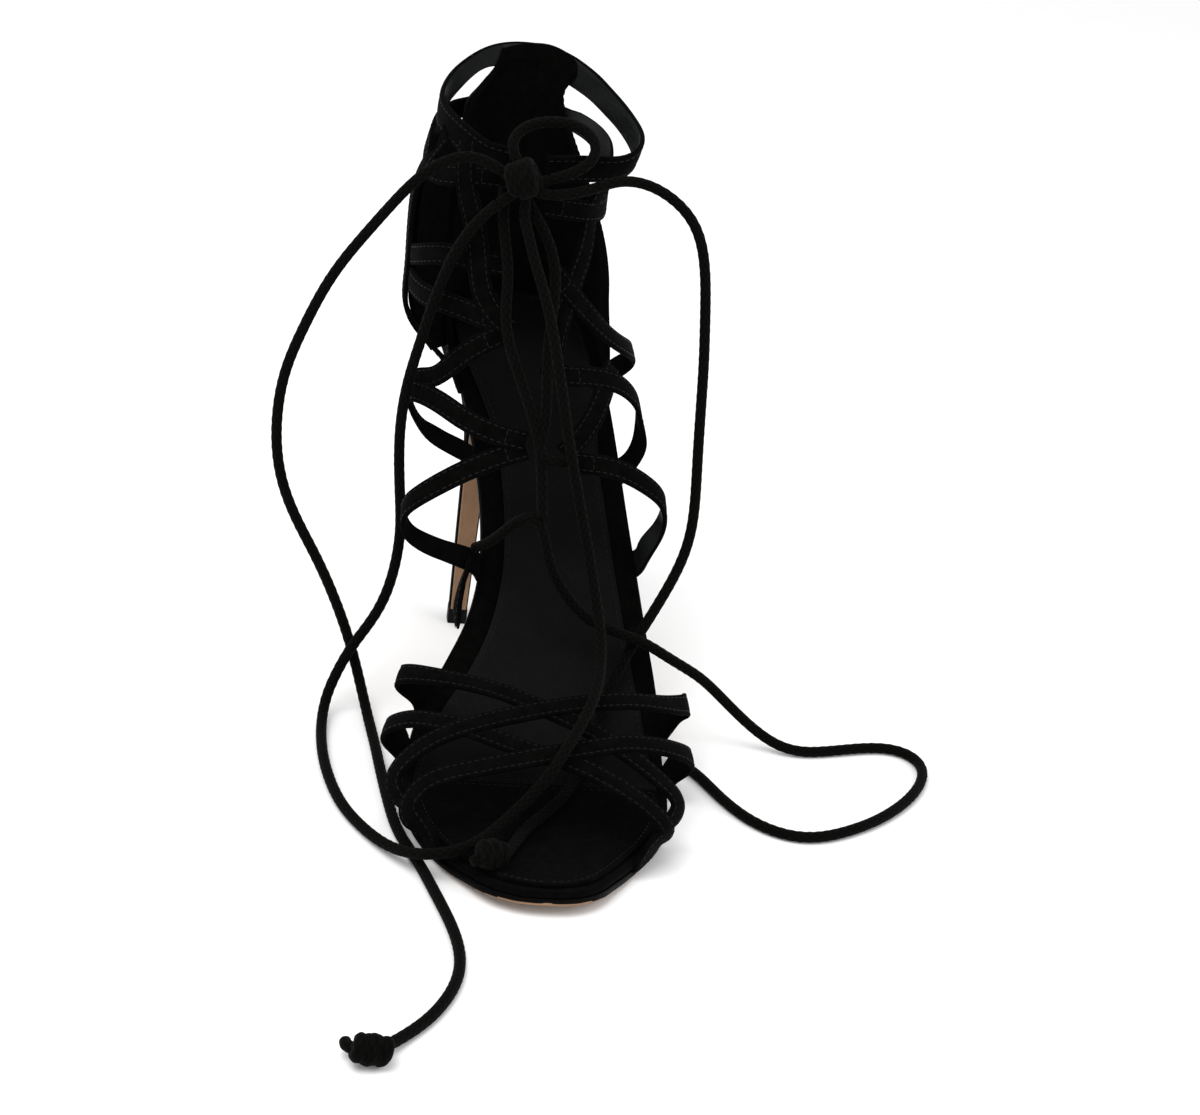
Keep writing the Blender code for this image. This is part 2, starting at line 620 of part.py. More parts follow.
def build_counter(parts, material):
    """Closed back: two rows beside the seat, then level U sections up to the collar."""
    columns = 19
    start = 178.0
    places = [start + (FLOOR_LENGTH - start) * math.sin(0.5 * math.pi * step / 13) for step in range(14)]
    flat = [Vector((inner_edge(y), y, 0)) for y in places]
    flat += [Vector((outer_edge(y), y, 0)) for y in reversed(places)]
    even = resample(flat, sum((b - a).length for a, b in zip(flat, flat[1:])) / (columns - 1))
    rows = []
    clear = GAP + 0.8 + COUNTER_THICK
    for lift, out in ((-BOARD + 0.3, clear), (1.0, clear), (4.5, clear)):
        row = []
        for i, p in enumerate(even):
            tangent = even[min(i + 1, len(even) - 1)] - even[max(i - 1, 0)]
            away = Vector((-tangent.y, tangent.x, 0)).normalized()
            q = p + away * out
            row.append(lifted(q.x, min(q.y, FLOOR_LENGTH + out), lift))
        rows.append(row)
    inner, outer, inner_front, outer_front, back = (smooth_table(COUNTER_FORM, c) for c in range(1, 6))
    heights = [125, 132, 140, 148, 157, 166, 175, 180.5, 184, 185.8, 187.5, 190.5, 194, 197, 199.5]
    for height in heights:
        row = []
        for i in range(len(even)):
            part = i / (len(even) - 1)
            turn = math.pi * (1 + part)
            x = 0.5 * (inner(height) + outer(height)) + 0.5 * (outer(height) - inner(height)) * math.cos(turn)
            front = inner_front(height) + (outer_front(height) - inner_front(height)) * part
            depth = back(height) - front
            dip = (1.8 if part < 0.5 else 5.3) * math.cos(turn) ** 2 * max(0.0, (height - 187.5) / 15)
            row.append(world(x, front + depth * abs(math.sin(turn)) ** 0.8, height - dip))
        rows.append(row)
    bm = bmesh.new()
    grid(bm, rows)
    obj = link_mesh("upper", bm, parts, material)
    solidify(obj, COUNTER_THICK, 1)
    return obj


def link_stations():
    """Stations of the small stay, its face turning upwards as it leaves the edge."""
    stations = []
    for i, (along, lift, out) in enumerate(INNER_LINK):
        spot, away = rim_station(along, -1, lift, out)
        stations.append((spot, (away + Vector((0, 0, 0.9 * min(1, i / 3)))).normalized()))
    return stations


def build_panel(guides, material):
    """Side panel between the counter and the rearmost inner hoop, bowed a little outwards."""
    bm = bmesh.new()
    rows = []
    for form in PANEL_FORM:
        back, front = Vector(form[:3]), Vector(form[3:])
        row = []
        for part in (0.0, 0.25, 0.5, 0.75, 1.0):
            bow = Vector((-1.3, -1.0, 0)) * math.sin(math.pi * part)
            row.append(world(*(back.lerp(front, part) + bow)))
        rows.append(row)
    grid(bm, rows)
    panel = link_mesh("inner_panel", bm, guides, material)
    solidify(panel, COUNTER_THICK, 0)
    return panel


def build_upper(parts, guides, material):
    counter = build_counter(parts, material)
    straps = [ribbon("collar", collar_stations(), COLLAR_WIDTH, guides, material),
              ribbon("inner_link", link_stations(), 5.0, guides, material)]
    for side, table in ((-1, INNER_STRAPS), (1, OUTER_STRAPS)):
        for index, (name, rim, route) in enumerate(table):
            lift = 0.5 if index % 2 else -0.3
            path = [] if rim is None else rim_end(rim, side)
            path += [cage_station(*stop[:2], lift + sum(stop[2:])) for stop in route]
            straps.append(ribbon(name, path, STRAP_WIDTH, guides, material))
    join(counter, [build_panel(guides, material)] + straps)


def build_vamp(parts, guides, material):
    made = []
    for index, (name, inner_rim, outer_rim, route) in enumerate(VAMP_STRAPS):
        lift = 0.5 if index % 2 else -0.3
        path = rim_end(inner_rim, -1)
        path += [vamp_station(along, angle, lift) for along, angle in route]
        path += list(reversed(rim_end(outer_rim, 1)))
        collection = parts if index == 0 else guides
        made.append(ribbon(name if index else "vamp_cage", path, STRAP_WIDTH, collection, material))
    join(made[0], made[1:])


# ---------------------------------------------------------------- laces
def lace_tube(name, points, collection, material, spacing=3.2):
    """A round lace with filled ends along a smooth curve."""
    path = resample(catmull(points, 8), spacing * LACE_DIAMETER * MM)
    curve = bpy.data.curves.new(name, "CURVE")
    curve.dimensions = "3D"
    curve.bevel_depth = 0.5 * LACE_DIAMETER * MM
    curve.bevel_resolution = 2
    curve.use_fill_caps = True
    spline = curve.splines.new("POLY")
    spline.points.add(len(path) - 1)
    for target, point in zip(spline.points, path):
        target.co = (*point, 1)
    obj = bpy.data.objects.new(name, curve)
    curve.materials.append(material)
    collection.objects.link(obj)
    return obj


def tube_to_mesh(obj, collection):
    """The same tube as a closed mesh, ready to be joined."""
    bpy.context.view_layer.update()
    evaluated = obj.evaluated_get(bpy.context.evaluated_depsgraph_get())
    mesh = bpy.data.meshes.new_from_object(evaluated)
    bm = bmesh.new()
    bm.from_mesh(mesh)
    bmesh.ops.remove_doubles(bm, verts=bm.verts, dist=0.00001)
    bm.to_mesh(mesh)
    bm.free()
    solid = bpy.data.objects.new(obj.name, mesh)
    solid.matrix_world = obj.matrix_world
    name = obj.name
    collection.objects.link(solid)
    bpy.data.objects.remove(obj, do_unlink=True)
    solid.name = name
    return solid


def throat_point(angle, height, lift):
    return cage_station(angle, height, lift)[0]


def build_lacing(parts, guides, material):
    """Two runs down the throat; the second turns under the lowest inner strap and crosses to the outer side."""
    over = 0.5 + GAP + 0.5 + 0.5 * LACE_DIAMETER
    first = [throat_point(a, h, over) for a, h in LACE_INNER]
    first.append(world(0.9, 106.2, 84.8))
    second = [throat_point(a, h, over) for a, h in LACE_OUTER]
    tubes = []
    for name, corners, where in (("lace_crossings", first, parts), ("lace_crossing_back", second, guides)):
        tubes.append(tube_to_mesh(lace_tube(name, corners, where, material), where))
    join(tubes[0], [tubes[1]])


def build_knot(name, centre, size, parts, material):
    bm = bmesh.new()
    bmesh.ops.create_uvsphere(bm, u_segments=12, v_segments=8, radius=0.5)
    bmesh.ops.scale(bm, vec=Vector(size) * MM, verts=bm.verts)
    bmesh.ops.translate(bm, vec=world(*centre), verts=bm.verts)
    link_mesh(name, bm, parts, material, 60)


def build_laces(parts, guides, materials):
    cord = materials["cord"]
    build_lacing(parts, guides, cord)
    build_knot("lace_knot", (-12.5, 142.8, 177.2), (15, 9.2, 12), parts, cord)
    build_knot("stopper_knot_inner", (-55.2, -77.4, 4.8), (14, 11, 9.2), parts, cord)
    build_knot("stopper_knot_outer", (-16.5, 12.5, 13.2), (12, 10, 8), parts, cord)
    for name, route in ROUTES.items():
        lace_tube(name, [world(*point) for point in route], parts, cord)


def main():
    clear_scene()
    parts = new_collection("lace_up_stiletto_sandal")
    guides = new_collection("guides")
    materials = {name: make_material(name) for name in COLOURS}
    build_sole(parts, materials)
    build_heel(parts, materials)
    build_upper(parts, guides, materials["suede"])
    build_vamp(parts, guides, materials["suede"])
    build_laces(parts, guides, materials)


main()
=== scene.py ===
"""Looks of a caged lace-up stiletto sandal: suede bands, leather sole, braided lace, floor, light and camera.

Sizes in the tables are millimetres in the shoemaker's frame: x to the outer side, distance from the toe tip,
height over the floor. place() turns them into metres in the frame of the packed model.
"""

import json
import math

import bmesh
import bpy
from mathutils import Matrix, Vector

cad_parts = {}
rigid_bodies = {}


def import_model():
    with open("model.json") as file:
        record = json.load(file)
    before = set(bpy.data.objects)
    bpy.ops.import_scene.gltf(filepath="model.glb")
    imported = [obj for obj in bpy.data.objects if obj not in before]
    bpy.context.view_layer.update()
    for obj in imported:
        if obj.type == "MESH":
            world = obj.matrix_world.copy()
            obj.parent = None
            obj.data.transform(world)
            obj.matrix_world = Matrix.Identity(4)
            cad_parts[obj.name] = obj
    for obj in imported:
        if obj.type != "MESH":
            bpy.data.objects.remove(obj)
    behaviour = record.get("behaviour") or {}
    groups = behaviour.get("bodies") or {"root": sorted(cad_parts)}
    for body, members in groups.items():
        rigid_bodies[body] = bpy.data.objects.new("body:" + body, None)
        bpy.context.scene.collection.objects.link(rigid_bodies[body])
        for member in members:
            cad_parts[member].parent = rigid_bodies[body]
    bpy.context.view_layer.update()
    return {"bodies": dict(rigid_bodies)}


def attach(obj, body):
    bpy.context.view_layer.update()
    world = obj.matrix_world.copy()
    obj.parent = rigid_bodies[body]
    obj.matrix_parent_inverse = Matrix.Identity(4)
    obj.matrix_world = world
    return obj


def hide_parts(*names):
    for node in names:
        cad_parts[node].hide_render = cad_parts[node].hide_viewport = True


bl_info = {
    "name": "Lace-up Stiletto Sandal",
    "version": (1, 0, 0),
    "blender": (4, 5, 0),
    "location": "View3D > Sidebar > Sandal",
    "description": "Builds a caged suede sandal with a slim high heel and a long braided lace",
    "category": "Add Mesh",
}

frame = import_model()
BODY = list(frame["bodies"])[0]

MM = 0.001
ORIGIN = Vector((3.3, 108.8, 0.0))
FLOOR_LENGTH = 215.0
BALL_WIDTH = 82.0
HEEL_RISE = 111.0
BALL_TOP = 4.5            # footbed top above the floor at the ball
GAP = 0.3                 # clearance between neighbouring pieces
TIP_HEIGHT = 5.6
STEM_TOP = 60.0           # height where the slim stem of the heel begins
HEEL_X = -12.0            # centre of the stem

# Footbed: distance from toe and rise as fractions of length and heel rise,
# inner and outer edge as fractions of ball width
FOOTBED = (
    (0.000, 0.038, 0.012, 0.012),
    (0.0016, 0.038, 0.056, 0.056),
    (0.006, 0.037, 0.112, 0.108),
    (0.0125, 0.036, 0.150, 0.143),
    (0.021, 0.034, 0.186, 0.178),
    (0.037, 0.030, 0.228, 0.218),
    (0.058, 0.024, 0.267, 0.256),
    (0.105, 0.013, 0.345, 0.340),
    (0.174, 0.003, 0.420, 0.448),
    (0.244, 0.000, 0.460, 0.518),
    (0.314, 0.000, 0.472, 0.550),
    (0.384, 0.022, 0.448, 0.555),
    (0.453, 0.124, 0.384, 0.545),
    (0.500, 0.205, 0.300, 0.525),
    (0.547, 0.305, 0.217, 0.492),
    (0.593, 0.408, 0.176, 0.460),
    (0.649, 0.535, 0.173, 0.420),
    (0.709, 0.676, 0.205, 0.378),
    (0.765, 0.796, 0.250, 0.341),
    (0.826, 0.886, 0.305, 0.310),
    (0.881, 0.939, 0.338, 0.285),
    (0.928, 0.968, 0.328, 0.254),
    (0.965, 0.985, 0.268, 0.195),
    (0.988, 0.995, 0.182, 0.112),
    (1.000, 1.000, 0.070, -0.010),
)

# Bare edge of the footbed beside the insole: distance from toe, margin
SOCK_MARGIN = ((0, 2.5), (60, 3.0), (84, 4.5), (110, 7.2), (150, 7.2), (175, 4.0), (FLOOR_LENGTH, 2.8))

# Form of the foot behind the instep, cut level: height, front, back, inner, outer
CAGE_FORM = (
    (20, 40, 100, -44, 50),
    (45, 68, 123, -43, 47),
    (60, 84, 136, -43, 46),
    (80, 103, 152, -43, 43.5),
    (100, 118, 173, -42, 37),
    (116, 128, 214, -43, 32),
    (135, 138, 215.5, -43.5, 24),
    (155, 146, 214, -44, 21),
    (164, 148, 213, -43.5, 18.5),
    (171, 150, 213, -41, 20.5),
    (178, 151, 213, -39.5, 27.5),
    (185, 152, 213, -38.5, 31),
    (205, 154, 214.5, -30, 26),
)

# Form of the forefoot, cut across: distance from toe, top, inner, outer
VAMP_FORM = (
    (14, 17, -35, 34),
    (20, 20, -38, 38.5),
    (30, 25, -43, 44),
    (42, 29, -47, 49),
    (55, 33, -48.5, 51.5),
    (70, 37, -48.5, 53.5),
    (84, 40, -46.5, 54.5),
    (100, 47, -42.5, 54),
)

# Counter, a level U at each height: height, inner, outer, inner front, outer front, back
COUNTER_FORM = (
    (124, -29.5, 25.5, 184, 184, 215.5),
    (134, -30, 25, 187, 190, 215.5),
    (146, -29.5, 22, 190, 197, 215),
    (160, -29, 16.5, 193, 203, 214.5),
    (174, -28.5, 10, 196, 206.5, 214),
    (184, -27.5, 5.8, 199, 208, 213.5),
    (187.5, -24.5, 5.2, 202.5, 208.5, 212.8),
    (191, -21.5, 6.2, 206.5, 208.8, 212.8),
    (194.5, -19, 7.8, 208.2, 209, 213),
    (198, -17.4, 9.6, 209, 209, 213),
    (203, -16.4, 10.2, 209.4, 209.4, 213.3),
)

# Side panel on the inner side: x, distance from toe and height of its back edge at the counter, then of its
# front edge at the rearmost hoop
PANEL_FORM = (
    (-28.0, 180, 107.5, -33.0, 173.5, 107.5),
    (-28.5, 182, 112, -36.4, 173.0, 112),
    (-30.4, 187, 124, -41.9, 173.4, 124),
    (-30.8, 190, 136, -42.2, 175.0, 136),
    (-30.4, 193, 150, -42.6, 176.8, 150),
    (-29.8, 196, 163, -42.2, 177.0, 163),
    (-29.3, 198, 172, -40.6, 176.0, 172),
    (-28.8, 199, 176, -41.0, 172.0, 177),
    (-28.4, 200, 178.5, -40.0, 171.0, 182.5),
)

# Band round the ankle: x, distance from toe, height, lean of its top outwards in degrees
COLLAR_ROUTE = (
    (-17.4, 152.6, 180, 0), (-25.9, 156.3, 181, 0), (-32.2, 162.4, 184, -4), (-37.1, 172.6, 186, -4),
    (-38.3, 181, 187, -3), (-37.2, 189.3, 188, -2), (-31.9, 201.1, 191.4, 0), (-22.1, 209.0, 196.6, 0),
    (-13.6, 212.6, 198, 0), (-2.5, 214.0, 197.6, 0), (6.0, 212.9, 195.6, 0), (11.2, 209.6, 193.4, 0),
    (15.1, 205, 192, 0), (18.8, 198, 189.8, 0), (22, 190, 188.2, 0), (24.4, 181, 186.6, 2),
    (25.8, 173, 185.3, 6), (26.3, 166, 183.9, 12), (24.4, 159.5, 181.7, 18), (19.4, 155.3, 180.0, 20),
    (12.7, 153, 179.8, 18), (6.1, 151.5, 180.0, 12), (-0.2, 150.5, 179.6, 6), (-5.0, 150.2, 179.2, 4),
)

# Routes of the cage straps: angle round the form (0 outer, 90 front, 180 inner, 270 back) and height
INNER_STRAPS = (
    # name, rim distance from toe (or None), route of (angle, height) or (angle, height, lift)
    ("inner_hoop_front", 129, ((212, 59, -5), (197, 65), (180, 73), (158, 79.5), (140, 85), (128, 89),
                               (117, 92.5), (107.5, 95.3), (93.5, 98.8))),
    ("inner_hoop_middle", 152, ((204, 88, -8), (192, 94, -3), (180, 102), (158, 106), (136, 106.5),
                                (121, 104), (107, 102), (93.5, 100.5))),
    ("inner_fork", None, ((192, 99), (168, 107), (140.5, 112), (129.5, 117), (120, 121.7), (113, 124.6),
                          (105.5, 127.1), (97, 129.8))),
    ("inner_hoop_back", 172, ((186, 112, -6), (180, 122), (178, 136), (177, 150), (175, 163), (168, 174),
                              (156, 183))),
    ("inner_band", None, ((178, 133), (166, 133), (150, 133.3), (136, 134.3), (125, 134.6), (116, 134.2),
                          (106.5, 133.4), (97, 133))),
    ("inner_post", None, ((94, 131), (100, 134), (106, 138), (109.3, 143.5), (110, 150), (111.5, 157),
                          (116, 164.6), (127, 171.5), (136, 184))),
    ("inner_bridge", None, ((180, 139), (166, 142.3), (151, 145.6), (130, 149), (113, 149.4), (96, 149.2))),
    ("inner_stay", None, ((238, 181), (212, 180), (186, 176), (168, 171.5), (153, 170.5), (131, 173.4),
                          (116.5, 174.8), (107, 175.2))),
)
OUTER_STRAPS = (
    ("outer_hoop_front", 132, ((326, 62, -1), (350, 71, -1.5), (370, 81), (392, 88), (414, 94), (436, 96))),
    ("outer_hoop_middle", 152, ((334, 90, -1), (346, 95, -2.5), (360, 101, -2.5), (378, 107, -1), (404, 115),
                                (436, 119))),
    ("outer_fork", None, ((440, 98), (428, 104), (416, 111), (400, 119))),
    ("outer_hoop_back", 176, ((351, 110), (358, 112.7), (369, 117), (383, 121.5), (398, 127.5), (415, 137),
                              (434, 148))),
    ("outer_brace", None, ((441, 119), (433, 131), (420, 144), (408, 155), (399, 167), (398, 182))),
    ("outer_stay", None, ((283, 179.5), (291, 178.3), (298, 177.8), (307, 176.8), (317.5, 175.4), (329, 174),
                          (341, 171.8), (358, 167), (376, 163.2), (392, 163.6), (410, 165.4), (440, 168))),
)

# Lift over the form of the straps that lie under and over the others; they take turns
PLY_LIFTS = (-0.3, 0.5)

# Straps whose lining is leather and not the suede itself
LINED = ("collar_band", "outer_stay", "outer_hoop_front")

# Way of a strap's tucked end: lift over the footbed, distance out from its edge, turn of its face downwards.
# It comes from between the board and the outsole, goes round the edge and up.
RIM_TURN = ((-3.5, -7.0, 1.0), (-3.5, -0.9, 0.95), (-2.8, 1.0, 0.55), (-1.0, 1.85, 0.1), (3.5, 2.3, 0.0))

# Small stay low on the inner side: distance from toe, lift over the footbed and distance out from its edge
INNER_LINK = ((114.8, -1.2, 2.2), (116.4, -0.8, 3.6), (118, -0.2, 4.6), (120, 0.5, 5.4), (122.3, 1.4, 5.9),
              (124.4, 3.6, 5.8), (126.6, 6.6, 5.4), (128.6, 9.4, 5.4))

# Routes of the forefoot straps: distance from toe and angle over the foot (180 inner, 0 outer)
VAMP_STRAPS = (
    # name, inner rim, outer rim, route
    ("vamp_rear_inner", 99, 37, ((95, 165), (91, 150), (84, 129), (78.5, 115), (73, 102), (66, 91),
                                 (58.5, 81), (52, 69), (46.5, 56), (42, 41), (39.5, 25))),
    ("vamp_rear_outer", 41, 95, ((45, 160), (49, 146), (52, 133), (55, 120), (58, 106), (61, 96), (65, 88),
                                 (69, 76), (73, 63), (78, 46), (85, 30), (91, 16))),
    ("vamp_front_inner", 83, 29, ((76, 165), (72, 153), (67.5, 139), (62, 126), (57, 113), (51, 101),
                                  (46, 91), (43, 84), (39, 75), (35, 64), (31, 49), (28, 34), (27.5, 21))),
    ("vamp_front_outer", 29, 78, ((31, 160), (34, 148), (37, 137), (38, 126), (39, 113), (41, 101), (44, 91),
                                  (48, 81), (53, 66), (57, 48), (62, 30), (67, 17))),
)

# The two runs of the lace down the throat: angle and height, top to bottom
LACE_INNER = ((103, 173), (97, 160), (94.5, 149), (95.5, 140), (97, 133), (96, 126), (93, 116), (91, 108),
              (89.6, 101))
LACE_OUTER = ((92, 171), (80, 162), (74, 150), (74.5, 143), (79, 131), (84, 119), (86.5, 106), (89, 100),
              (92.5, 97), (90, 94.8), (83, 94.5), (76, 95.5))

# Free laces: x, distance from toe, height
ROUTES = {
    "lace_end_inner": (
        (-19.5, 145, 179.3), (-24, 146, 182.5), (-31, 148, 183.5), (-39, 149, 179.5), (-46, 150, 173),
        (-52, 150, 165), (-58, 149, 157), (-69, 147, 141), (-77, 144, 123), (-82, 141, 108),
        (-83, 137, 90), (-80.5, 134, 76), (-75.5, 131, 65), (-67, 129, 51), (-59.5, 128, 36),
        (-53.5, 128, 21), (-49.5, 125, 9), (-47, 114, 2.8), (-45.5, 98, 2), (-44, 72, 2),
        (-41, 42, 2), (-35.8, 24.6, 2), (-32.6, 10.2, 2), (-29.2, -5.4, 2), (-27.5, -16.5, 2),
        (-27.1, -26.9, 2), (-28.7, -37.2, 2), (-31.6, -45.4, 2), (-35.1, -52.5, 2), (-38.8, -58.6, 2),
        (-43, -63.6, 2), (-47.0, -68.2, 2.2), (-50.6, -72.8, 3.2)),
    "lace_loop_long": (
        (-20.5, 141.5, 170.2), (-25, 143, 165), (-30, 144, 157), (-35, 144, 143), (-40, 142, 122),
        (-43, 140, 108), (-44, 137, 93), (-42.5, 132, 75), (-41, 129, 62), (-43.5, 126, 42),
        (-48, 125, 31), (-53, 124, 24), (-57, 123, 15), (-60.5, 120, 7), (-62, 110, 2.6),
        (-62.5, 94, 2), (-61.5, 78, 2), (-57.5, 57, 2), (-51, 42, 2.2), (-44, 30, 3.5),
        (-37.5, 21, 7), (-32, 17, 9.5), (-27, 16.5, 11), (-21, 19, 12), (-15, 26.5, 12.5),
        (-8.5, 32, 16), (-3, 35, 21), (1.8, 36.5, 26.8), (6, 41, 32.8), (10.5, 49, 35.8), (15, 58, 39),
        (18.5, 68, 42), (20.5, 80, 44.5), (21, 90, 49.5), (19.5, 97, 56), (17, 102, 67), (13, 106, 81),
        (9.2, 108.2, 94.5), (5.9, 111.6, 107), (1.5, 119, 126), (-3, 128, 143), (-8, 136, 155),
        (-11.9, 141.7, 166.9)),
    "lace_loop_short": (
        (-14.5, 146.5, 181.5), (-18, 148.5, 184.5), (-18.5, 151.5, 187.5), (-16, 155, 190), (-11, 158, 192),
        (-5, 159, 193), (0, 158, 193.5), (5, 156, 193), (8.5, 153, 191.5), (10.5, 149, 189),
        (10, 146, 185.5), (6, 144.5, 182.5), (1, 144.5, 180), (-4.6, 144.8, 178.3)),
    "lace_end_outer": (
        (-4, 142, 174), (2, 141, 175), (9, 143, 176.5), (15, 146.5, 179), (22, 149, 179), (30, 150, 177),
        (37, 149, 173), (42, 148, 169), (45.5, 146, 163), (48, 143, 152), (49.5, 140, 137),
        (50.5, 137, 124), (51, 133, 108), (51.5, 130, 95), (52, 124, 76), (51, 121, 68),
        (48.5, 118, 61), (44.5, 114, 54), (40.5, 110, 48), (36, 107, 40.5), (31.5, 102, 34),
        (27, 95, 27), (23, 86, 17.5), (18, 74, 10.5), (12, 60, 8.8), (3, 45, 8.9), (-4, 35, 9.3),
        (-7.5, 26, 9.7), (-11.9, 16.3, 10.9)),
    "lace_slack": (
        (-17.5, 125, 59.8), (-14.5, 120.5, 63), (-11.5, 116, 68.5), (-9, 113, 73), (-5, 110, 79),
        (-1.5, 108, 82), (0.5, 106.5, 80), (3, 105, 68), (6, 105, 61), (10.5, 105, 55), (18, 103.5, 47),
        (26, 102, 44.3), (35, 101.9, 42.5), (43, 103, 37.5), (50, 105, 32.5), (58, 107.5, 27.5),
        (67, 109, 19), (76, 110, 10.5), (86, 109, 3.4), (93, 106, 2), (108, 109, 2), (124, 113, 2),
        (132, 111, 2), (136, 102, 2), (132, 88, 2), (121, 72, 2), (105, 58, 2), (86, 50, 2), (73, 57, 2),
        (64, 72, 2), (58, 88, 2), (51, 99, 2)),
}


# ---------------------------------------------------------------- settings
RGB = {"size": 3, "min": 0, "max": 1}       # what every colour setting shares


class SandalStraps(bpy.types.PropertyGroup):
    """Sizes and colours of the straps, the collar and the counter."""
    width: bpy.props.FloatProperty(name="Strap Width", description="Width of each cage strap",
                                   default=0.007, min=0.004, max=0.012, unit="LENGTH", precision=4)
    collar: bpy.props.FloatProperty(name="Collar Width", description="Width of the band round the ankle",
                                    default=0.0095, min=0.006, max=0.014, unit="LENGTH", precision=4)
    thickness: bpy.props.FloatProperty(name="Strap Thickness", description="Folded suede with its lining",
                                       default=0.0016, min=0.001, max=0.003, unit="LENGTH", precision=4)
    counter: bpy.props.FloatProperty(name="Counter Thickness", description="Wall of the closed back",
                                     default=0.0018, min=0.001, max=0.003, unit="LENGTH", precision=4)
    stitch_pitch: bpy.props.FloatProperty(name="Stitch Pitch", description="Distance between stitches",
                                          default=0.0023, min=0.001, max=0.005, unit="LENGTH", precision=4)
    suede: bpy.props.FloatVectorProperty(name="Suede", description="Colour of the napped leather",
                                         default=(0.0011, 0.0011, 0.0010), subtype="COLOR", **RGB)
    lining: bpy.props.FloatVectorProperty(name="Lining", description="Colour of the leather inside",
                                          default=(0.0058, 0.0063, 0.0065), subtype="COLOR", **RGB)
    thread: bpy.props.FloatVectorProperty(name="Thread", description="Colour of the stitches",
                                          default=(0.0024, 0.0025, 0.0025), subtype="COLOR", **RGB)


class SandalSole(bpy.types.PropertyGroup):
    """Sizes and colours of the footbed, outsole, insole and heel."""
    board: bpy.props.FloatProperty(name="Board", description="Covered footbed board",
                                   default=0.002, min=0.001, max=0.004, unit="LENGTH", precision=4)
    outsole: bpy.props.FloatProperty(name="Outsole", description="Thickness of the leather outsole",
                                     default=0.0022, min=0.001, max=0.004, unit="LENGTH", precision=4)
    sock: bpy.props.FloatProperty(name="Insole", description="Thickness of the insole leather",
                                  default=0.0012, min=0.0006, max=0.003, unit="LENGTH", precision=4)
    insole: bpy.props.FloatVectorProperty(name="Insole Leather", description="Colour of the insole leather",
                                          default=(0.0013, 0.0014, 0.0014), subtype="COLOR", **RGB)
    tan: bpy.props.FloatVectorProperty(name="Sole Leather",
                                       description="Colour of the outsole and heel breast",
                                       default=(0.225, 0.130, 0.070), subtype="COLOR", **RGB)
    edge: bpy.props.FloatVectorProperty(name="Edge Paint", description="Colour of the painted sole edge",
                                        default=(0.0014, 0.0012, 0.0012), subtype="COLOR", **RGB)
    rubber: bpy.props.FloatVectorProperty(name="Top Piece", description="Colour of the heel's top piece",
                                          default=(0.003, 0.003, 0.003), subtype="COLOR", **RGB)


class SandalLace(bpy.types.PropertyGroup):
    """Size and colour of the round braided lace."""
    diameter: bpy.props.FloatProperty(name="Lace Diameter", description="Thickness of the round braid",
                                      default=0.0034, min=0.002, max=0.005, unit="LENGTH", precision=4)
    pitch: bpy.props.FloatProperty(name="Braid Pitch", description="Length of one turn of a braided strand",
                                   default=0.0030, min=0.002, max=0.02, unit="LENGTH", precision=4)
    colour: bpy.props.FloatVectorProperty(name="Lace", description="Colour of the lace",
                                          default=(0.0015, 0.0014, 0.0012), subtype="COLOR", **RGB)


class SandalStage(bpy.types.PropertyGroup):
    """Floor, light and camera."""
    floor: bpy.props.FloatVectorProperty(name="Floor", description="Colour of the floor",
                                         default=(0.93, 0.93, 0.93), subtype="COLOR", **RGB)
    world: bpy.props.FloatProperty(name="Room Light", description="Strength of the light from all round",
                                   default=0.9, min=0, max=5)
    key: bpy.props.FloatProperty(name="Key Light", description="Power of the large light above",
                                 default=14.0, min=0, max=100, unit="POWER")
    fill: bpy.props.FloatProperty(name="Fill Light", description="Power of the light from the front",
                                  default=3.0, min=0, max=100, unit="POWER")
    lens: bpy.props.FloatProperty(name="Lens", description="Focal length in millimetres",
                                  default=90.0, min=20, max=200)


# ---------------------------------------------------------------- curves and forms
def place(x, along, height):
    """From the table frame to metres."""
    return (Vector((x, along, height)) - ORIGIN) * MM


def smooth_table(rows, column):
    """Monotone cubic through one column of a table, against its first column."""
    xs = [row[0] for row in rows]
    ys = [row[column] for row in rows]
    slopes = [(ys[i + 1] - ys[i]) / (xs[i + 1] - xs[i]) for i in range(len(xs) - 1)]
    tangents = [slopes[0]]
    for before, after in zip(slopes, slopes[1:]):
        tangents.append(0.0 if before * after <= 0 else 2 * before * after / (before + after))
    tangents.append(slopes[-1])

    def value(x):
        x = min(max(x, xs[0]), xs[-1])
        i = max(k for k in range(len(xs) - 1) if xs[k] <= x)
        h = xs[i + 1] - xs[i]
        t = (x - xs[i]) / h
        return ((1 + 2 * t) * (1 - t) ** 2 * ys[i] + t * (1 - t) ** 2 * h * tangents[i]
                + t * t * (3 - 2 * t) * ys[i + 1] + t * t * (t - 1) * h * tangents[i + 1])
    return value


def catmull(points, count):
    """Smooth curve through vectors, every point kept, free of loops where spans differ in length."""
    ends = [2 * points[0] - points[1]] + list(points) + [2 * points[-1] - points[-2]]
    curve = []
    for a, b, c, d in zip(ends, ends[1:], ends[2:], ends[3:]):
        before, span, after = (max((q - p).length, 1e-6) ** 0.5 for p, q in ((a, b), (b, c), (c, d)))
        leave = (b - a) / before - (c - a) / (before + span) + (c - b) / span
        arrive = (c - b) / span - (d - b) / (span + after) + (d - c) / after
        for step in range(count):
            t = step / count
            curve.append(b * ((1 + 2 * t) * (1 - t) ** 2) + c * (t * t * (3 - 2 * t))
                         + leave * (span * t * (1 - t) ** 2) - arrive * (span * t * t * (1 - t)))
    curve.append(points[-1].copy())
    return curve


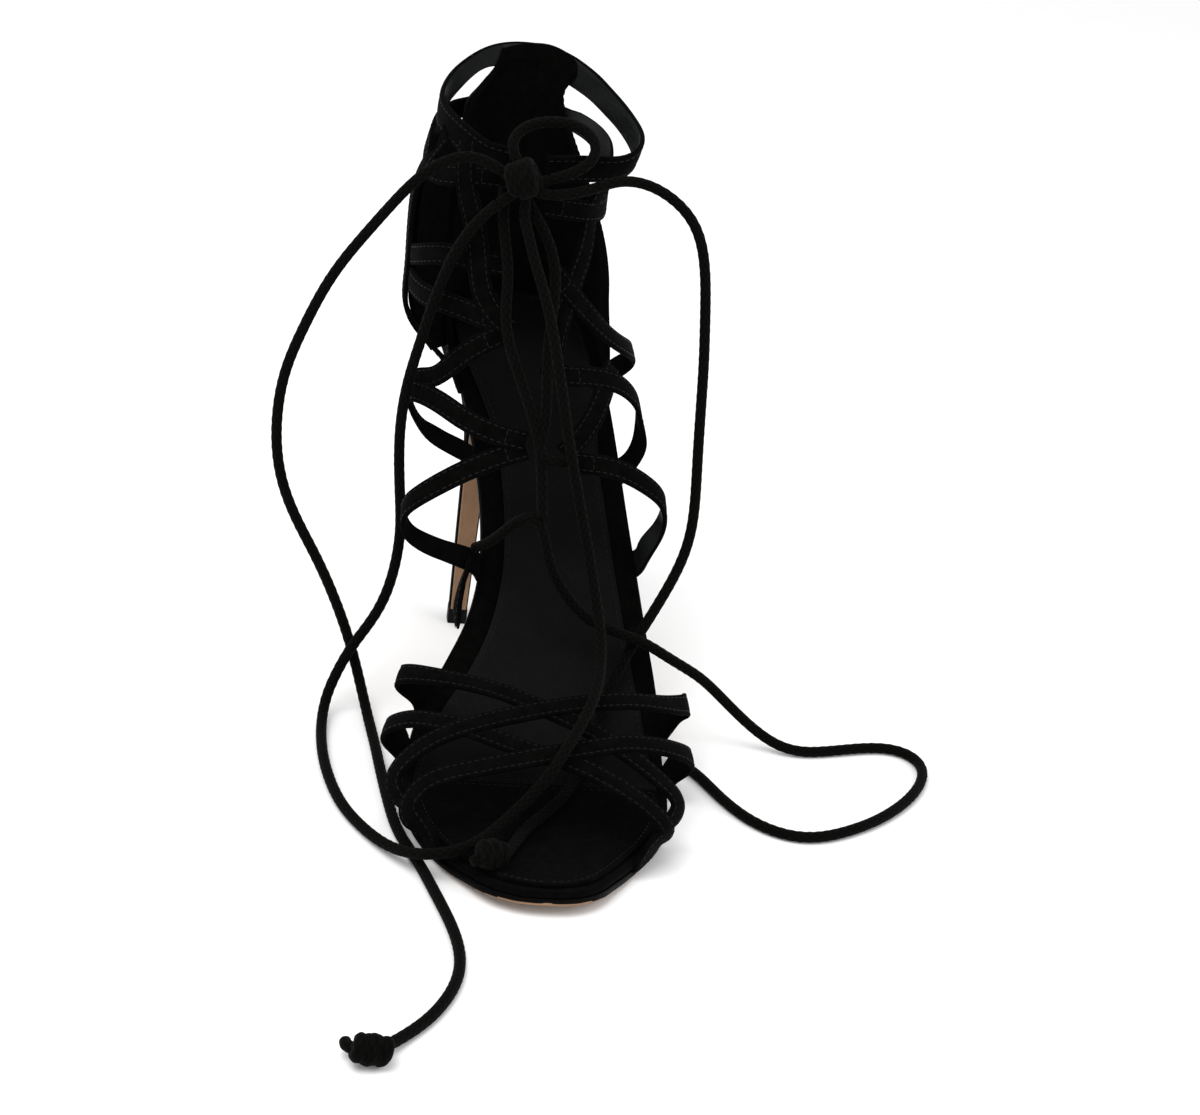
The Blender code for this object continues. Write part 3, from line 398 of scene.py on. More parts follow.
def path_length(points):
    """Length of a polyline."""
    return sum((b - a).length for a, b in zip(points, points[1:]))


def runs_along(points):
    """The step from the point before to the point after, at each point."""
    last = len(points) - 1
    return [points[min(i + 1, last)] - points[max(i - 1, 0)] for i in range(last + 1)]


def resample(points, spacing, partner=None):
    """Points at even distances along a polyline, with a partner list read at the same places."""
    lengths = [0.0]
    for a, b in zip(points, points[1:]):
        lengths.append(lengths[-1] + (b - a).length)
    count = max(2, round(lengths[-1] / spacing))
    result = []
    k = 0
    for i in range(count + 1):
        target = lengths[-1] * i / count
        while k < len(points) - 2 and lengths[k + 1] < target:
            k += 1
        span = lengths[k + 1] - lengths[k]
        t = 0.0 if span == 0 else (target - lengths[k]) / span
        source = points if partner is None else partner
        result.append(source[k].lerp(source[k + 1], t))
    return result


def eased(vectors):
    """The same vectors with each drawn a little towards its neighbours; the ends stay."""
    middle = [0.25 * a + 0.5 * b + 0.25 * c for a, b, c in zip(vectors, vectors[1:], vectors[2:])]
    return [vectors[0]] + middle + [vectors[-1]]


def smooth_outline(rows, column, inset=None):
    """One edge of the footbed, or a line inside it, as a smooth curve read by its distance from the toe."""
    spacing, passes = 0.8, 30
    curve = catmull([Vector((row[0] * FLOOR_LENGTH, row[column] * BALL_WIDTH, 0)) for row in rows], 24)
    if inset is not None:
        curve = [point + Vector((run.y, -run.x, 0)).normalized() * inset(point.x)
                 for point, run in zip(curve, runs_along(curve))]
        curve = resample(curve, spacing)
        for _ in range(passes):
            curve = eased(curve)

    def value(along):
        along = min(max(along, curve[0].x), curve[-1].x)
        i = max(1, next(k for k, point in enumerate(curve) if point.x >= along))
        a, b = curve[i - 1], curve[i]
        return a.y + (b.y - a.y) * (along - a.x) / max(b.x - a.x, 1e-9)
    return value


RISE = smooth_table(FOOTBED, 1)
INNER, OUTER = (smooth_outline(FOOTBED, column) for column in (2, 3))
MARGIN = smooth_table(SOCK_MARGIN, 1)
SOCK_INNER, SOCK_OUTER = (smooth_outline(FOOTBED, column, MARGIN) for column in (2, 3))
CAGE = [smooth_table(CAGE_FORM, column) for column in range(1, 5)]
VAMP = [smooth_table(VAMP_FORM, column) for column in range(1, 4)]
COUNTER = [smooth_table(COUNTER_FORM, column) for column in range(1, 6)]
CAGE_POWER = 2 / 2.3      # squareness of the cage's level sections
VAMP_POWER = 2 / 2.6      # squareness of the forefoot's cross sections
VAMP_BASE = 3.0           # foot of the forefoot's sections over the footbed


def footbed_top(along):
    """Height of the footbed's top over the floor."""
    return BALL_TOP + HEEL_RISE * RISE(along / FLOOR_LENGTH)


def inner_edge(along):
    """x of the footbed's inner edge."""
    return -INNER(along)


def outer_edge(along):
    """x of the footbed's outer edge."""
    return OUTER(along)


def footbed_slope(along):
    """Slope of the footbed towards the heel, in radians."""
    step = 2.5
    low, high = max(0, min(along, FLOOR_LENGTH) - step), min(FLOOR_LENGTH, along + step)
    return math.atan2(footbed_top(high) - footbed_top(low), high - low)


def lifted(x, along, lift):
    """A point over the footbed, moved square to its surface."""
    slope = footbed_slope(along)
    return place(x, along - lift * math.sin(slope), footbed_top(along) + lift * math.cos(slope))


def signed_power(value, power):
    """A power that keeps the sign of its base."""
    return math.copysign(abs(value) ** power, value)


def cage_point(angle, height):
    """A point on the form behind the instep."""
    front, back, inner, outer = (column(height) for column in CAGE)
    turn = math.radians(angle)
    x = 0.5 * (inner + outer) + 0.5 * (outer - inner) * signed_power(math.cos(turn), CAGE_POWER)
    along = 0.5 * (front + back) - 0.5 * (back - front) * signed_power(math.sin(turn), CAGE_POWER)
    return place(x, along, height)


def vamp_point(along, angle):
    """A point on the form of the forefoot."""
    top, inner, outer = (column(along) for column in VAMP)
    base = footbed_top(along) + VAMP_BASE
    turn = math.radians(angle)
    x = 0.5 * (inner + outer) + 0.5 * (outer - inner) * signed_power(math.cos(turn), VAMP_POWER)
    height = base + (top - base) * signed_power(math.sin(turn), VAMP_POWER)
    return place(x, along, height)


def outward(surface, u, v):
    """Unit normal of a surface, by small steps each way."""
    step = 0.4
    du = surface(u + step, v) - surface(u - step, v)
    dv = surface(u, v + step) - surface(u, v - step)
    return du.cross(dv).normalized()


def cage_station(angle, height, lift):
    """A point over the form behind the instep, with its normal outwards."""
    normal = outward(cage_point, angle, height)
    if normal.dot(cage_point(angle, height) - cage_point(angle + 180, height)) < 0:
        normal = -normal
    return cage_point(angle, height) + normal * lift * MM, normal


def vamp_station(along, angle, lift):
    """A point over the form of the forefoot, with its normal outwards."""
    inside = place(0, along, 8)
    normal = outward(vamp_point, along, angle)
    if normal.z < -0.2 or normal.dot(vamp_point(along, angle) - inside) < 0:
        normal = -normal
    return vamp_point(along, angle) + normal * lift * MM, normal


def collar_stations():
    """Stations of the band round the ankle, its face turned outwards and leaning as the table says."""
    middle = place(-4, 182, 188)
    spots = [place(*row[:3]) for row in COLLAR_ROUTE]
    stations = []
    for spot, run, row in zip(spots, runs_along(spots), COLLAR_ROUTE):
        away = Vector((run.y, -run.x, 0)).normalized()
        if away.dot(spot - middle) < 0:
            away = -away
        away.z = -math.tan(math.radians(row[3]))
        stations.append((spot, away.normalized()))
    return stations


def link_stations():
    """Stations of the small stay, its face turning upwards over the first ones as it leaves the edge."""
    turn_up, over = 0.9, 3
    stations = []
    for i, (along, lift, out) in enumerate(INNER_LINK):
        spot, away = rim_station(along, -1, lift, out)
        stations.append((spot, (away + Vector((0, 0, turn_up * min(1, i / over)))).normalized()))
    return stations


def panel_rows(columns):
    """The side panel row by row, bottom first, each bowed a little outwards."""
    bow = Vector((-1.3, -1.0, 0))
    parts = [column / columns for column in range(columns + 1)]
    return [[place(*(Vector(form[:3]).lerp(Vector(form[3:]), part) + bow * math.sin(math.pi * part)))
             for part in parts] for form in PANEL_FORM]


def rim_station(along, side, lift, out):
    """Beside the edge of the footbed; side is -1 inner, +1 outer."""
    edge = inner_edge if side < 0 else outer_edge
    slope = footbed_slope(along)
    lean = (edge(along + 1) - edge(along - 1)) / 2 * math.cos(slope)
    across = Vector((side, -side * lean * math.cos(slope), -side * lean * math.sin(slope))).normalized()
    return lifted(edge(along), along, lift) + across * out * MM, across


def rim_end(along, side):
    """Stations of the tucked end of a strap."""
    down = -lifted(0, along, 1) + lifted(0, along, 0)
    down.normalize()
    stations = []
    for lift, out, turn in RIM_TURN:
        spot, away = rim_station(along, side, lift, out)
        stations.append((spot, (down * turn + away * (1 - turn)).normalized()))
    return stations


# ---------------------------------------------------------------- finishes
def new_material(name, colour, roughness, **sockets):
    """A material with its node tree and its shader, whose sockets are set by name."""
    material = bpy.data.materials.new(name)
    material.use_nodes = True
    shader = material.node_tree.nodes["Principled BSDF"]
    shader.inputs["Base Color"].default_value = (*colour, 1)
    shader.inputs["Roughness"].default_value = roughness
    for socket, value in sockets.items():
        shader.inputs[socket.replace("_", " ")].default_value = value
    return material, material.node_tree, shader


def add_node(tree, kind, **sockets):
    """A node whose sockets are set by name."""
    made = tree.nodes.new(kind)
    for socket, value in sockets.items():
        made.inputs[socket.replace("_", " ")].default_value = value
    return made


def colour_ramp(tree, factor, colour, low, high, start=0.32, end=0.70):
    """Two shades of a colour, darker and lighter, by a factor."""
    ramp = tree.nodes.new("ShaderNodeValToRGB")
    for element, position, shade in zip(ramp.color_ramp.elements, (start, end), (low, high)):
        element.position = position
        element.color = tuple(min(1.0, part * shade) for part in colour) + (1,)
    tree.links.new(factor, ramp.inputs["Fac"])
    return ramp.outputs["Color"]


def mottle(tree, shader, coordinate, colour, low, high, scale, detail=3.0):
    """Uneven colour from soft noise."""
    noise = add_node(tree, "ShaderNodeTexNoise", Scale=scale, Detail=detail, Roughness=0.6)
    tree.links.new(coordinate, noise.inputs["Vector"])
    tree.links.new(colour_ramp(tree, noise.outputs["Fac"], colour, low, high), shader.inputs["Base Color"])


def uneven_gloss(tree, shader, coordinate, roughness, scale):
    """Roughness that varies in soft patches."""
    noise = add_node(tree, "ShaderNodeTexNoise", Scale=scale, Detail=3.0, Roughness=0.6)
    gloss = add_node(tree, "ShaderNodeMapRange", From_Min=0.3, From_Max=0.7, To_Min=roughness - 0.07,
                     To_Max=roughness + 0.07)
    tree.links.new(coordinate, noise.inputs["Vector"])
    tree.links.new(noise.outputs["Fac"], gloss.inputs["Value"])
    tree.links.new(gloss.outputs["Result"], shader.inputs["Roughness"])


def object_coordinates(tree):
    """Places on the piece, which stands at the origin."""
    return tree.nodes.new("ShaderNodeTexCoord").outputs["Object"]


def add_bump(tree, shader, height, strength, distance, under=None):
    """Relief from a height, over the relief of another bump if there is one."""
    bump = add_node(tree, "ShaderNodeBump", Strength=strength, Distance=distance)
    tree.links.new(height, bump.inputs["Height"])
    if under is not None:
        tree.links.new(under.outputs["Normal"], bump.inputs["Normal"])
    tree.links.new(bump.outputs["Normal"], shader.inputs["Normal"])
    return bump


def noise_bump(tree, shader, coordinate, scale, strength, distance, under=None):
    """Relief from fine noise."""
    noise = add_node(tree, "ShaderNodeTexNoise", Scale=scale, Detail=3.0, Roughness=0.65)
    tree.links.new(coordinate, noise.inputs["Vector"])
    return add_bump(tree, shader, noise.outputs["Fac"], strength, distance, under)


def suede_finish(name, colour):
    """Napped leather: brushed patches, short fibre and a faint sheen."""
    material, tree, shader = new_material(name, colour, 0.92, Sheen_Weight=0.008, Sheen_Roughness=0.5,
                                          Specular_IOR_Level=0.018)
    shader.inputs["Sheen Tint"].default_value = (0.75, 0.78, 0.82, 1)
    coordinate = object_coordinates(tree)
    mottle(tree, shader, coordinate, colour, 0.65, 1.7, 260, 4)
    uneven_gloss(tree, shader, coordinate, 0.9, 300)
    soft = noise_bump(tree, shader, coordinate, 420, 0.35, 0.0003)
    noise_bump(tree, shader, coordinate, 2600, 0.6, 0.00014, soft)
    return material


def leather_finish(name, colour, roughness, grain, depth, gloss):
    """Smooth leather with a fine pebbled grain, pores and slightly uneven polish."""
    material, tree, shader = new_material(name, colour, roughness, Specular_IOR_Level=gloss)
    coordinate = object_coordinates(tree)
    mottle(tree, shader, coordinate, colour, 0.8, 1.3, 90, 3)
    uneven_gloss(tree, shader, coordinate, roughness, 240)
    cells = add_node(tree, "ShaderNodeTexVoronoi", Scale=grain)
    cells.feature = "SMOOTH_F1"
    tree.links.new(coordinate, cells.inputs["Vector"])
    under = add_bump(tree, shader, cells.outputs["Distance"], depth, 0.00012)
    noise_bump(tree, shader, coordinate, grain * 2.6, depth * 0.6, 0.00006, under)
    return material


def sole_finish(name, colour):
    """Tan sole leather: long fibre streaks, small scuffs and a dull polish."""
    material, tree, shader = new_material(name, colour, 0.55, Specular_IOR_Level=0.35)
    coordinate = object_coordinates(tree)
    mottle(tree, shader, coordinate, colour, 0.88, 1.08, 130, 5)
    uneven_gloss(tree, shader, coordinate, 0.55, 180)
    stretch = tree.nodes.new("ShaderNodeMapping")
    stretch.inputs["Scale"].default_value = (6, 1, 1)
    tree.links.new(coordinate, stretch.inputs["Vector"])
    noise_bump(tree, shader, stretch.outputs["Vector"], 160, 0.3, 0.00012)
    return material


def plain_finish(name, colour, roughness, scale, depth, gloss):
    """Painted edge, rubber or thread: one colour with a little waviness."""
    material, tree, shader = new_material(name, colour, roughness, Specular_IOR_Level=gloss)
    coordinate = object_coordinates(tree)
    mottle(tree, shader, coordinate, colour, 0.85, 1.25, scale * 0.4)
    uneven_gloss(tree, shader, coordinate, roughness, scale * 0.2)
    noise_bump(tree, shader, coordinate, scale, 0.4, depth)
    return material


def floor_finish(name, colour):
    """Plain matt paper with a hardly visible tooth."""
    material, tree, shader = new_material(name, colour, 0.95, Specular_IOR_Level=0.05)
    coordinate = object_coordinates(tree)
    mottle(tree, shader, coordinate, colour, 0.995, 1.0, 40)
    noise_bump(tree, shader, coordinate, 900, 0.1, 0.00005)
    return material


def math_node(tree, operation, *values):
    """The result of a sum on numbers or other nodes' results."""
    made = tree.nodes.new("ShaderNodeMath")
    made.operation = operation
    for socket, value in zip(made.inputs, values):
        if isinstance(value, (int, float)):
            socket.default_value = value
        else:
            tree.links.new(value, socket)
    return made.outputs["Value"]


def lace_finish(name, colour):
    """Round braid: strands that pass over and under, with painted shade in the hollows and painted highlight
    on the crowns, and twisted yarn on each.
    """
    material, tree, shader = new_material(name, colour, 0.85, Sheen_Weight=0.012, Sheen_Roughness=0.5,
                                          Specular_IOR_Level=0.03)
    place_on = tree.nodes.new("ShaderNodeUVMap")
    place_on.uv_map = "UVMap"
    parts = tree.nodes.new("ShaderNodeSeparateXYZ")
    tree.links.new(place_on.outputs["UV"], parts.inputs["Vector"])
    turn = 2 * math.pi
    around = math_node(tree, "COSINE", math_node(tree, "MULTIPLY", parts.outputs["X"], turn * BRAID_STRANDS))
    along = math_node(tree, "COSINE", math_node(tree, "MULTIPLY", parts.outputs["Y"], turn))
    strands = math_node(tree, "MULTIPLY_ADD", math_node(tree, "MULTIPLY", around, along), 0.5, 0.5)
    # Painted shade and highlight: the colour is darker where the braid dips and lighter where its strands
    # rise.
    tree.links.new(colour_ramp(tree, strands, colour, 0.6, 1.45, 0.25, 0.85), shader.inputs["Base Color"])
    slant = math_node(tree, "ADD", math_node(tree, "MULTIPLY", parts.outputs["X"], BRAID_STRANDS),
                      parts.outputs["Y"])
    yarn = math_node(tree, "SINE", math_node(tree, "MULTIPLY", slant, 4 * turn))
    under = add_bump(tree, shader, strands, 0.5, 0.0002)
    add_bump(tree, shader, yarn, 0.25, 0.00006, under)
    return material


FINISHES = {}


def finish_of(name):
    """Each finish is made once, from the settings."""
    if name not in FINISHES:
        scene = bpy.context.scene
        straps, sole, lace = scene.sandal_straps, scene.sandal_sole, scene.sandal_lace
        makers = {
            "suede": lambda: suede_finish("black_suede", straps.suede),
            "lining": lambda: leather_finish("leather_lining", straps.lining, 0.45, 1100, 0.5, 0.12),
            "thread": lambda: plain_finish("waxed_thread", straps.thread, 0.5, 4000, 0.00004, 0.1),
            "insole": lambda: leather_finish("insole_leather", sole.insole, 0.5, 1500, 0.35, 0.048),
            "tan": lambda: sole_finish("tan_sole_leather", sole.tan),
            "edge": lambda: plain_finish("painted_edge", sole.edge, 0.45, 700, 0.00008, 0.03),
            "rubber": lambda: plain_finish("top_piece_rubber", sole.rubber, 0.6, 1500, 0.00008, 0.08),
            "lace": lambda: lace_finish("braided_lace", lace.colour),
        }
        FINISHES[name] = makers[name]()
    return FINISHES[name]


# ---------------------------------------------------------------- mesh helpers
BRAID_STRANDS = 6         # strands seen round the lace
BRAID_RELIEF = 0.035      # their rise, as part of the lace's radius
LACE_SIDES = 24
LACE_SPACING = 0.0005     # distance between the rings of a lace's skin
LACE_SMOOTH = 60          # degrees under which a knot or a lace is shaded smooth
STRAP_SPACING = 0.0016    # distance between the stations of a strap


def settle(name, bm, finishes, slot, replaces=(), smooth=40):
    """Makes the object of a finished mesh and fixes it to the packed model."""
    mesh = bpy.data.meshes.new(name)
    bm.to_mesh(mesh)
    bm.free()
    for finish in finishes:
        mesh.materials.append(finish_of(finish))
    mesh.shade_smooth()
    mesh.set_sharp_from_angle(angle=math.radians(smooth))
    piece = bpy.data.objects.new(name, mesh)
    bpy.context.scene.collection.objects.link(piece)
    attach(piece, BODY)
    if replaces:
        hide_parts(*replaces)
    return piece


def laid_grid(bm, columns, rows, point, stretch=1.0, finish_of_face=None):
    """Adds a grid and lays it on a surface; point(column, row) is the place of each corner."""
    layer = bm.loops.layers.uv.get("UVMap") or bm.loops.layers.uv.new("UVMap")
    verts = bmesh.ops.create_grid(bm, x_segments=columns, y_segments=rows, size=0.5)["verts"]
    for face in {face for vert in verts for face in vert.link_faces}:
        if finish_of_face is not None:
            middle = face.calc_center_median()
            column, row = int((middle.x + 0.5) * columns), int((middle.y + 0.5) * rows)
            face.material_index = finish_of_face(column, row)
        for loop in face.loops:
            loop[layer].uv = (loop.vert.co.x + 0.5, (loop.vert.co.y + 0.5) * stretch)
    for vert in verts:
        vert.co = point(round((vert.co.x + 0.5) * columns), round((vert.co.y + 0.5) * rows))
    return verts


def close_tube(bm, verts):
    """Merges the seam of a grid that was rolled up and fills its two ends."""
    bmesh.ops.remove_doubles(bm, verts=verts, dist=1e-7)
    bmesh.ops.holes_fill(bm, edges=[edge for edge in bm.edges if edge.is_boundary], sides=0)
    bmesh.ops.recalc_face_normals(bm, faces=bm.faces)


def frames_along(points, normals=None):
    """(point, normal, across) at each point; the normal is carried along where none is given."""
    result = []
    carried = None
    for i, (point, run) in enumerate(zip(points, runs_along(points))):
        tangent = run.normalized()
        if normals is not None:
            facing = normals[i]
        elif carried is None:
            facing = Vector((0, 0, 1)) if abs(tangent.z) < 0.9 else Vector((0, 1, 0))
        else:
            facing = carried
        facing = (facing - tangent * facing.dot(tangent)).normalized()
        carried = facing
        result.append((point, facing, tangent.cross(facing).normalized()))
    return result


def strap_frames(route):
    """Close stations along a strap from its few (point, normal) ones, eased between its two ends."""
    steps, end, easings, turn_easings = 10, 5, 9, 8
    fine = catmull([point for point, normal in route], steps)
    facing = []
    for (_, a), (_, b) in zip(route, route[1:]):
        facing += [a.lerp(b, step / steps) for step in range(steps)]
    facing.append(route[-1][1])
    points, facing = resample(fine, STRAP_SPACING), resample(fine, STRAP_SPACING, facing)
    for _ in range(easings):
        points = points[:end] + eased(points[end:-end]) + points[-end:]
    for _ in range(turn_easings):
        facing = [normal.normalized() for normal in eased(facing)]
    return frames_along(points, facing)


def strap_widths(count, width, start, end):
    """Width at each frame of a strap, wider by the given parts where its ends go under the footbed."""
    reach = 18
    return [width * (1 + start * max(0.0, 1 - i / reach) + end * max(0.0, 1 - (count - 1 - i) / reach))
            for i in range(count)]


# Cut of a strap: part of the half width, part of the thickness under the face. The face is slightly crowned,
# with a groove under each row of stitches, and rolls round the edges.
STRAP_CUT = ((-1.0, 0.50), (-0.985, 0.26), (-0.93, 0.09), (-0.84, 0.00), (-0.70, 0.05), (-0.62, 0.06),
             (-0.52, -0.01), (-0.26, -0.06), (0.0, -0.08), (0.26, -0.06), (0.52, -0.01), (0.62, 0.06),
             (0.70, 0.05), (0.84, 0.00), (0.93, 0.09), (0.985, 0.26), (1.0, 0.50), (0.985, 0.78),
             (0.90, 0.97), (0.45, 1.0), (-0.45, 1.0), (-0.90, 0.97), (-0.985, 0.78))
LINED_COLUMNS = range(18, 21)   # of the cut, those on the inner face
STITCH_LINE = 0.66              # way from the middle of a strap to its edge
STRAP_ENDS = (0.35, 0.8, 1.0)   # part of the thickness at the last stations of a rounded end


def add_band(bm, frames, widths, thickness, rounded_ends=True):
    """A strap with rounded edges along frames; its inner face takes the second finish."""
    columns, rows = len(STRAP_CUT), len(frames) - 1

    def point(column, row):
        spot, facing, across = frames[row]
        part, depth = STRAP_CUT[column % columns]
        thin = STRAP_ENDS[min(row, rows - row, 2)] if rounded_ends else 1.0
        return (spot + across * (0.5 * widths[row] * part)
                - facing * (thickness * (0.5 + (depth - 0.5) * thin)))

    verts = laid_grid(bm, columns, rows, point, rows * 0.1,
                      lambda column, row: 1 if column in LINED_COLUMNS else 0)
    close_tube(bm, verts)


def laid_curve(stops):
    """The easy curve that a limp lace takes through its stops, at close even distances."""
    spacing, easings = 0.002, 16
    path = resample(catmull(stops, 12), spacing)
    for _ in range(easings):
        path = eased(path)
    return resample(catmull(path, 4), LACE_SPACING)


def add_lace(bm, points, radius, pitch, swell=None):
    """A round lace along a path, with the relief of its braid; swell(part of the way) makes it thinner."""
    path = resample(points, LACE_SPACING)
    frames = frames_along(path)
    total = path_length(path)
    rows = len(path) - 1

    def point(column, row):
        spot, facing, across = frames[row]
        turn = 2 * math.pi * (column % LACE_SIDES) / LACE_SIDES
        wave = math.cos(BRAID_STRANDS * turn) * math.cos(2 * math.pi * total / pitch * row / rows)
        reach = radius * (1 + BRAID_RELIEF * wave) * (0.72 if row in (0, rows) else 1.0)
        if swell:
            reach *= swell(row / rows)
        return spot + (facing * math.cos(turn) + across * math.sin(turn)) * reach

    part = bmesh.new()
    close_tube(part, laid_grid(part, LACE_SIDES, rows, point, total / pitch))
    append(bm, part)


def append(bm, part):
    """Adds one finished mesh to another."""
    mesh = bpy.data.meshes.new("part")
    part.to_mesh(mesh)
    part.free()
    bm.from_mesh(mesh)
    bpy.data.meshes.remove(mesh)


class Stitches:
    """Rows of short stitches, gathered into one piece."""
    # Length as part of the pitch, width and height
    SHAPE = (0.74, 0.00050, 0.00036)

    def __init__(self):
        shape = bmesh.new()
        bmesh.ops.create_uvsphere(shape, u_segments=6, v_segments=4, radius=0.5,
                                  matrix=Matrix.Rotation(math.pi / 2, 4, "Y"))
        self.shape = bpy.data.meshes.new("stitch")
        shape.to_mesh(self.shape)
        shape.free()
        self.bm = bmesh.new()

    def row(self, points, normals, pitch):
        """Stitches end to end along a line, each a low rounded bar that dips at its ends."""
        part, width, height = self.SHAPE
        line, facing = resample(points, pitch), resample(points, pitch, normals)
        for a, b, normal in zip(line, line[1:], facing):
            tangent = (b - a).normalized()
            normal = (normal - tangent * normal.dot(tangent)).normalized()
            turn = Matrix((tangent, normal.cross(tangent), normal)).transposed().to_4x4()
            stitch = self.shape.copy()
            stitch.transform(Matrix.Translation(0.5 * (a + b)) @ turn
                             @ Matrix.Diagonal(((b - a).length * part, width, height, 1)))
            self.bm.from_mesh(stitch)
            bpy.data.meshes.remove(stitch)

    def beside_strap(self, frames, widths, pitch):
        """A row beside each edge of a strap, in its groove."""
        sink = 0.00002
        for side in (-1, 1):
            points = [spot + across * (side * 0.5 * width * STITCH_LINE) - facing * sink
                      for (spot, facing, across), width in zip(frames, widths)]
            self.row(points, [facing for _, facing, _ in frames], pitch)

    def across_strap(self, frames, index, width, pitch):
        """A short row across a strap, near its end."""
        rise = 0.0001
        spot, facing, across = frames[index]
        reach = 0.5 * width * STITCH_LINE
        self.row([spot - across * reach + facing * rise, spot + across * reach + facing * rise],
                 [facing, facing], pitch)

    def settle(self, name, slot="suede"):
        """Makes the object of all the rows."""
        bpy.data.meshes.remove(self.shape)
        return settle(name, self.bm, ["thread"], slot)


# ---------------------------------------------------------------- sole and heel shapes
OUTSOLE_END = 162                       # distance from the toe
SEAT_FRONT, SEAT_BACK = 164.0, 212.0    # of the heel under the board
SEAT_DEPTH = 2.0 + 2 * GAP              # of the heel's seat under the footbed's top
STEM_FRONT, STEM_BACK = 190.5, 200.5
STEM_HALF = 4.0                         # half width of the stem
SEAT_MARGIN = 1.2                       # of the seat inside the board's edge
LEAST_HALF = 0.6                        # half width where the back closes
FOOT_BACK, FOOT_DEPTH, FOOT_WIDTH = 0.4, 0.9, 0.78      # shift and size of the stem at the top piece
HEEL_ROWS = 17
HEEL_LEVELS = 36
FOOT_LEVELS = 8
ROLL_STEPS = 5
ROLL_POWER = 0.6                        # squareness of a sole layer's rolled edge


def layer_places(start, end, count, radius):
    """(distance from toe, part of the full thickness) of the rows of a sole layer, with rolled ends."""
    turns = [0.5 * math.pi * step / ROLL_STEPS for step in range(ROLL_STEPS)]
    rolled = [(radius * (1 - math.cos(turn) ** ROLL_POWER), math.sin(turn) ** ROLL_POWER) for turn in turns]
    middle = []
    for step in range(count + 1):
        part = 0.5 - 0.5 * math.cos(math.pi * step / count)
        middle.append((start + radius + (end - start - 2 * radius) * part, 1.0))
    front = [(start + offset, part) for offset, part in rolled]
    back = [(end - offset, part) for offset, part in reversed(rolled)]
    return front + middle + back


def layer_cut(across_steps=14, side_steps=9):
    """Cut of a sole layer: part of the half width, way outwards and depth, round from the inner top edge."""
    cut = [(-1 + 2 * step / across_steps, 0.0, 0.0) for step in range(across_steps + 1)]
    under = [(part, 0.0, 1.0) for part, _, _ in reversed(cut)]
    turns = [math.pi * step / side_steps for step in range(1, side_steps)]
    cut += [(1.0, math.sin(turn) ** ROLL_POWER, 0.5 - 0.5 * signed_power(math.cos(turn), ROLL_POWER))
            for turn in turns]
    cut += under
    cut += [(-1.0, -math.sin(turn) ** ROLL_POWER, 0.5 + 0.5 * signed_power(math.cos(turn), ROLL_POWER))
            for turn in turns]
    return cut


def add_sole_layer(bm, start, end, lift, thickness, edges, finish_of_side=None, edge=0.5, count=110):
    """A layer of the sole in one closed skin with rolled edges, its top at the given lift (millimetres)."""
    radius = edge * thickness
    cut = layer_cut()
    places = layer_places(start, end, count, radius)
    columns, rows = len(cut), len(places) - 1

    def point(column, row):
        along, full = places[row]
        part, out, depth = cut[column % columns]
        inner, outer = edges(along)
        half = max(0.15, 0.5 * (outer - inner) - radius)
        level = lift - thickness * (0.5 + (depth - 0.5) * full)
        return lifted(0.5 * (inner + outer) + part * half + out * radius, along, level)

    def finish(column, row):
        return finish_of_side(0.5 * (cut[column][2] + cut[(column + 1) % columns][2]), places[row][0])

    close_tube(bm, laid_grid(bm, columns, rows, point, 10, finish if finish_of_side else None))


def heel_section(level):
    """Rows (along, centre, half width, height) from breast to back; level 0 is the seat, 1 the stem."""
    front_pull = 1 - (1 - level) ** 2.2
    back_pull = level * level * (3 - 2 * level)
    narrow = 1 - (1 - level) ** 1.9
    rows = []
    for k in range(HEEL_ROWS):
        part = k / (HEEL_ROWS - 1)
        spread = math.sin(0.5 * math.pi * part)
        seat_y = SEAT_FRONT + (SEAT_BACK - SEAT_FRONT) * spread
        stem_y = STEM_FRONT + (STEM_BACK - STEM_FRONT) * spread
        seat_half = 0.5 * (outer_edge(seat_y) - inner_edge(seat_y)) - SEAT_MARGIN
        stem_half = STEM_HALF * max(0.3, (1 - max(0.0, spread - 0.35) ** 2 * 2.1)) ** 0.5
        seat_x = 0.5 * (outer_edge(seat_y) + inner_edge(seat_y))
        pull = front_pull + (back_pull - front_pull) * part
        slope = footbed_slope(seat_y)
        top_y = seat_y + SEAT_DEPTH * math.sin(slope)
        top_z = footbed_top(seat_y) - SEAT_DEPTH * math.cos(slope)
        rows.append((top_y + (stem_y - top_y) * pull,
                     seat_x + (HEEL_X - seat_x) * narrow,
                     max(LEAST_HALF, seat_half + (stem_half - seat_half) * narrow),
                     top_z + (STEM_TOP - top_z) * level))
    return rows


def heel_foot(height):
    """The stem's section at the top piece."""
    return [(STEM_FRONT + FOOT_BACK + (along - STEM_FRONT) * FOOT_DEPTH, HEEL_X, half * FOOT_WIDTH, height)
            for along, x, half, _ in heel_section(1.0)]


def heel_sections():
    """All sections of the heel, from the seat down to the top piece."""
    sections = [heel_section(level / HEEL_LEVELS) for level in range(HEEL_LEVELS + 1)]
    foot = heel_foot(TIP_HEIGHT + GAP)
    for step in range(1, FOOT_LEVELS + 1):
        part = step / FOOT_LEVELS
        sections.append([tuple(a + (b - a) * part for a, b in zip(upper, lower))
                         for upper, lower in zip(sections[HEEL_LEVELS], foot)])
    return sections


def ring(section, grow=1.0):
    """The closed outline of a heel section, inner side first."""
    inner = [(x - half * grow, along, height) for along, x, half, height in section]
    outer = [(x + half * grow, along, height) for along, x, half, height in section]
    return inner + outer[::-1]


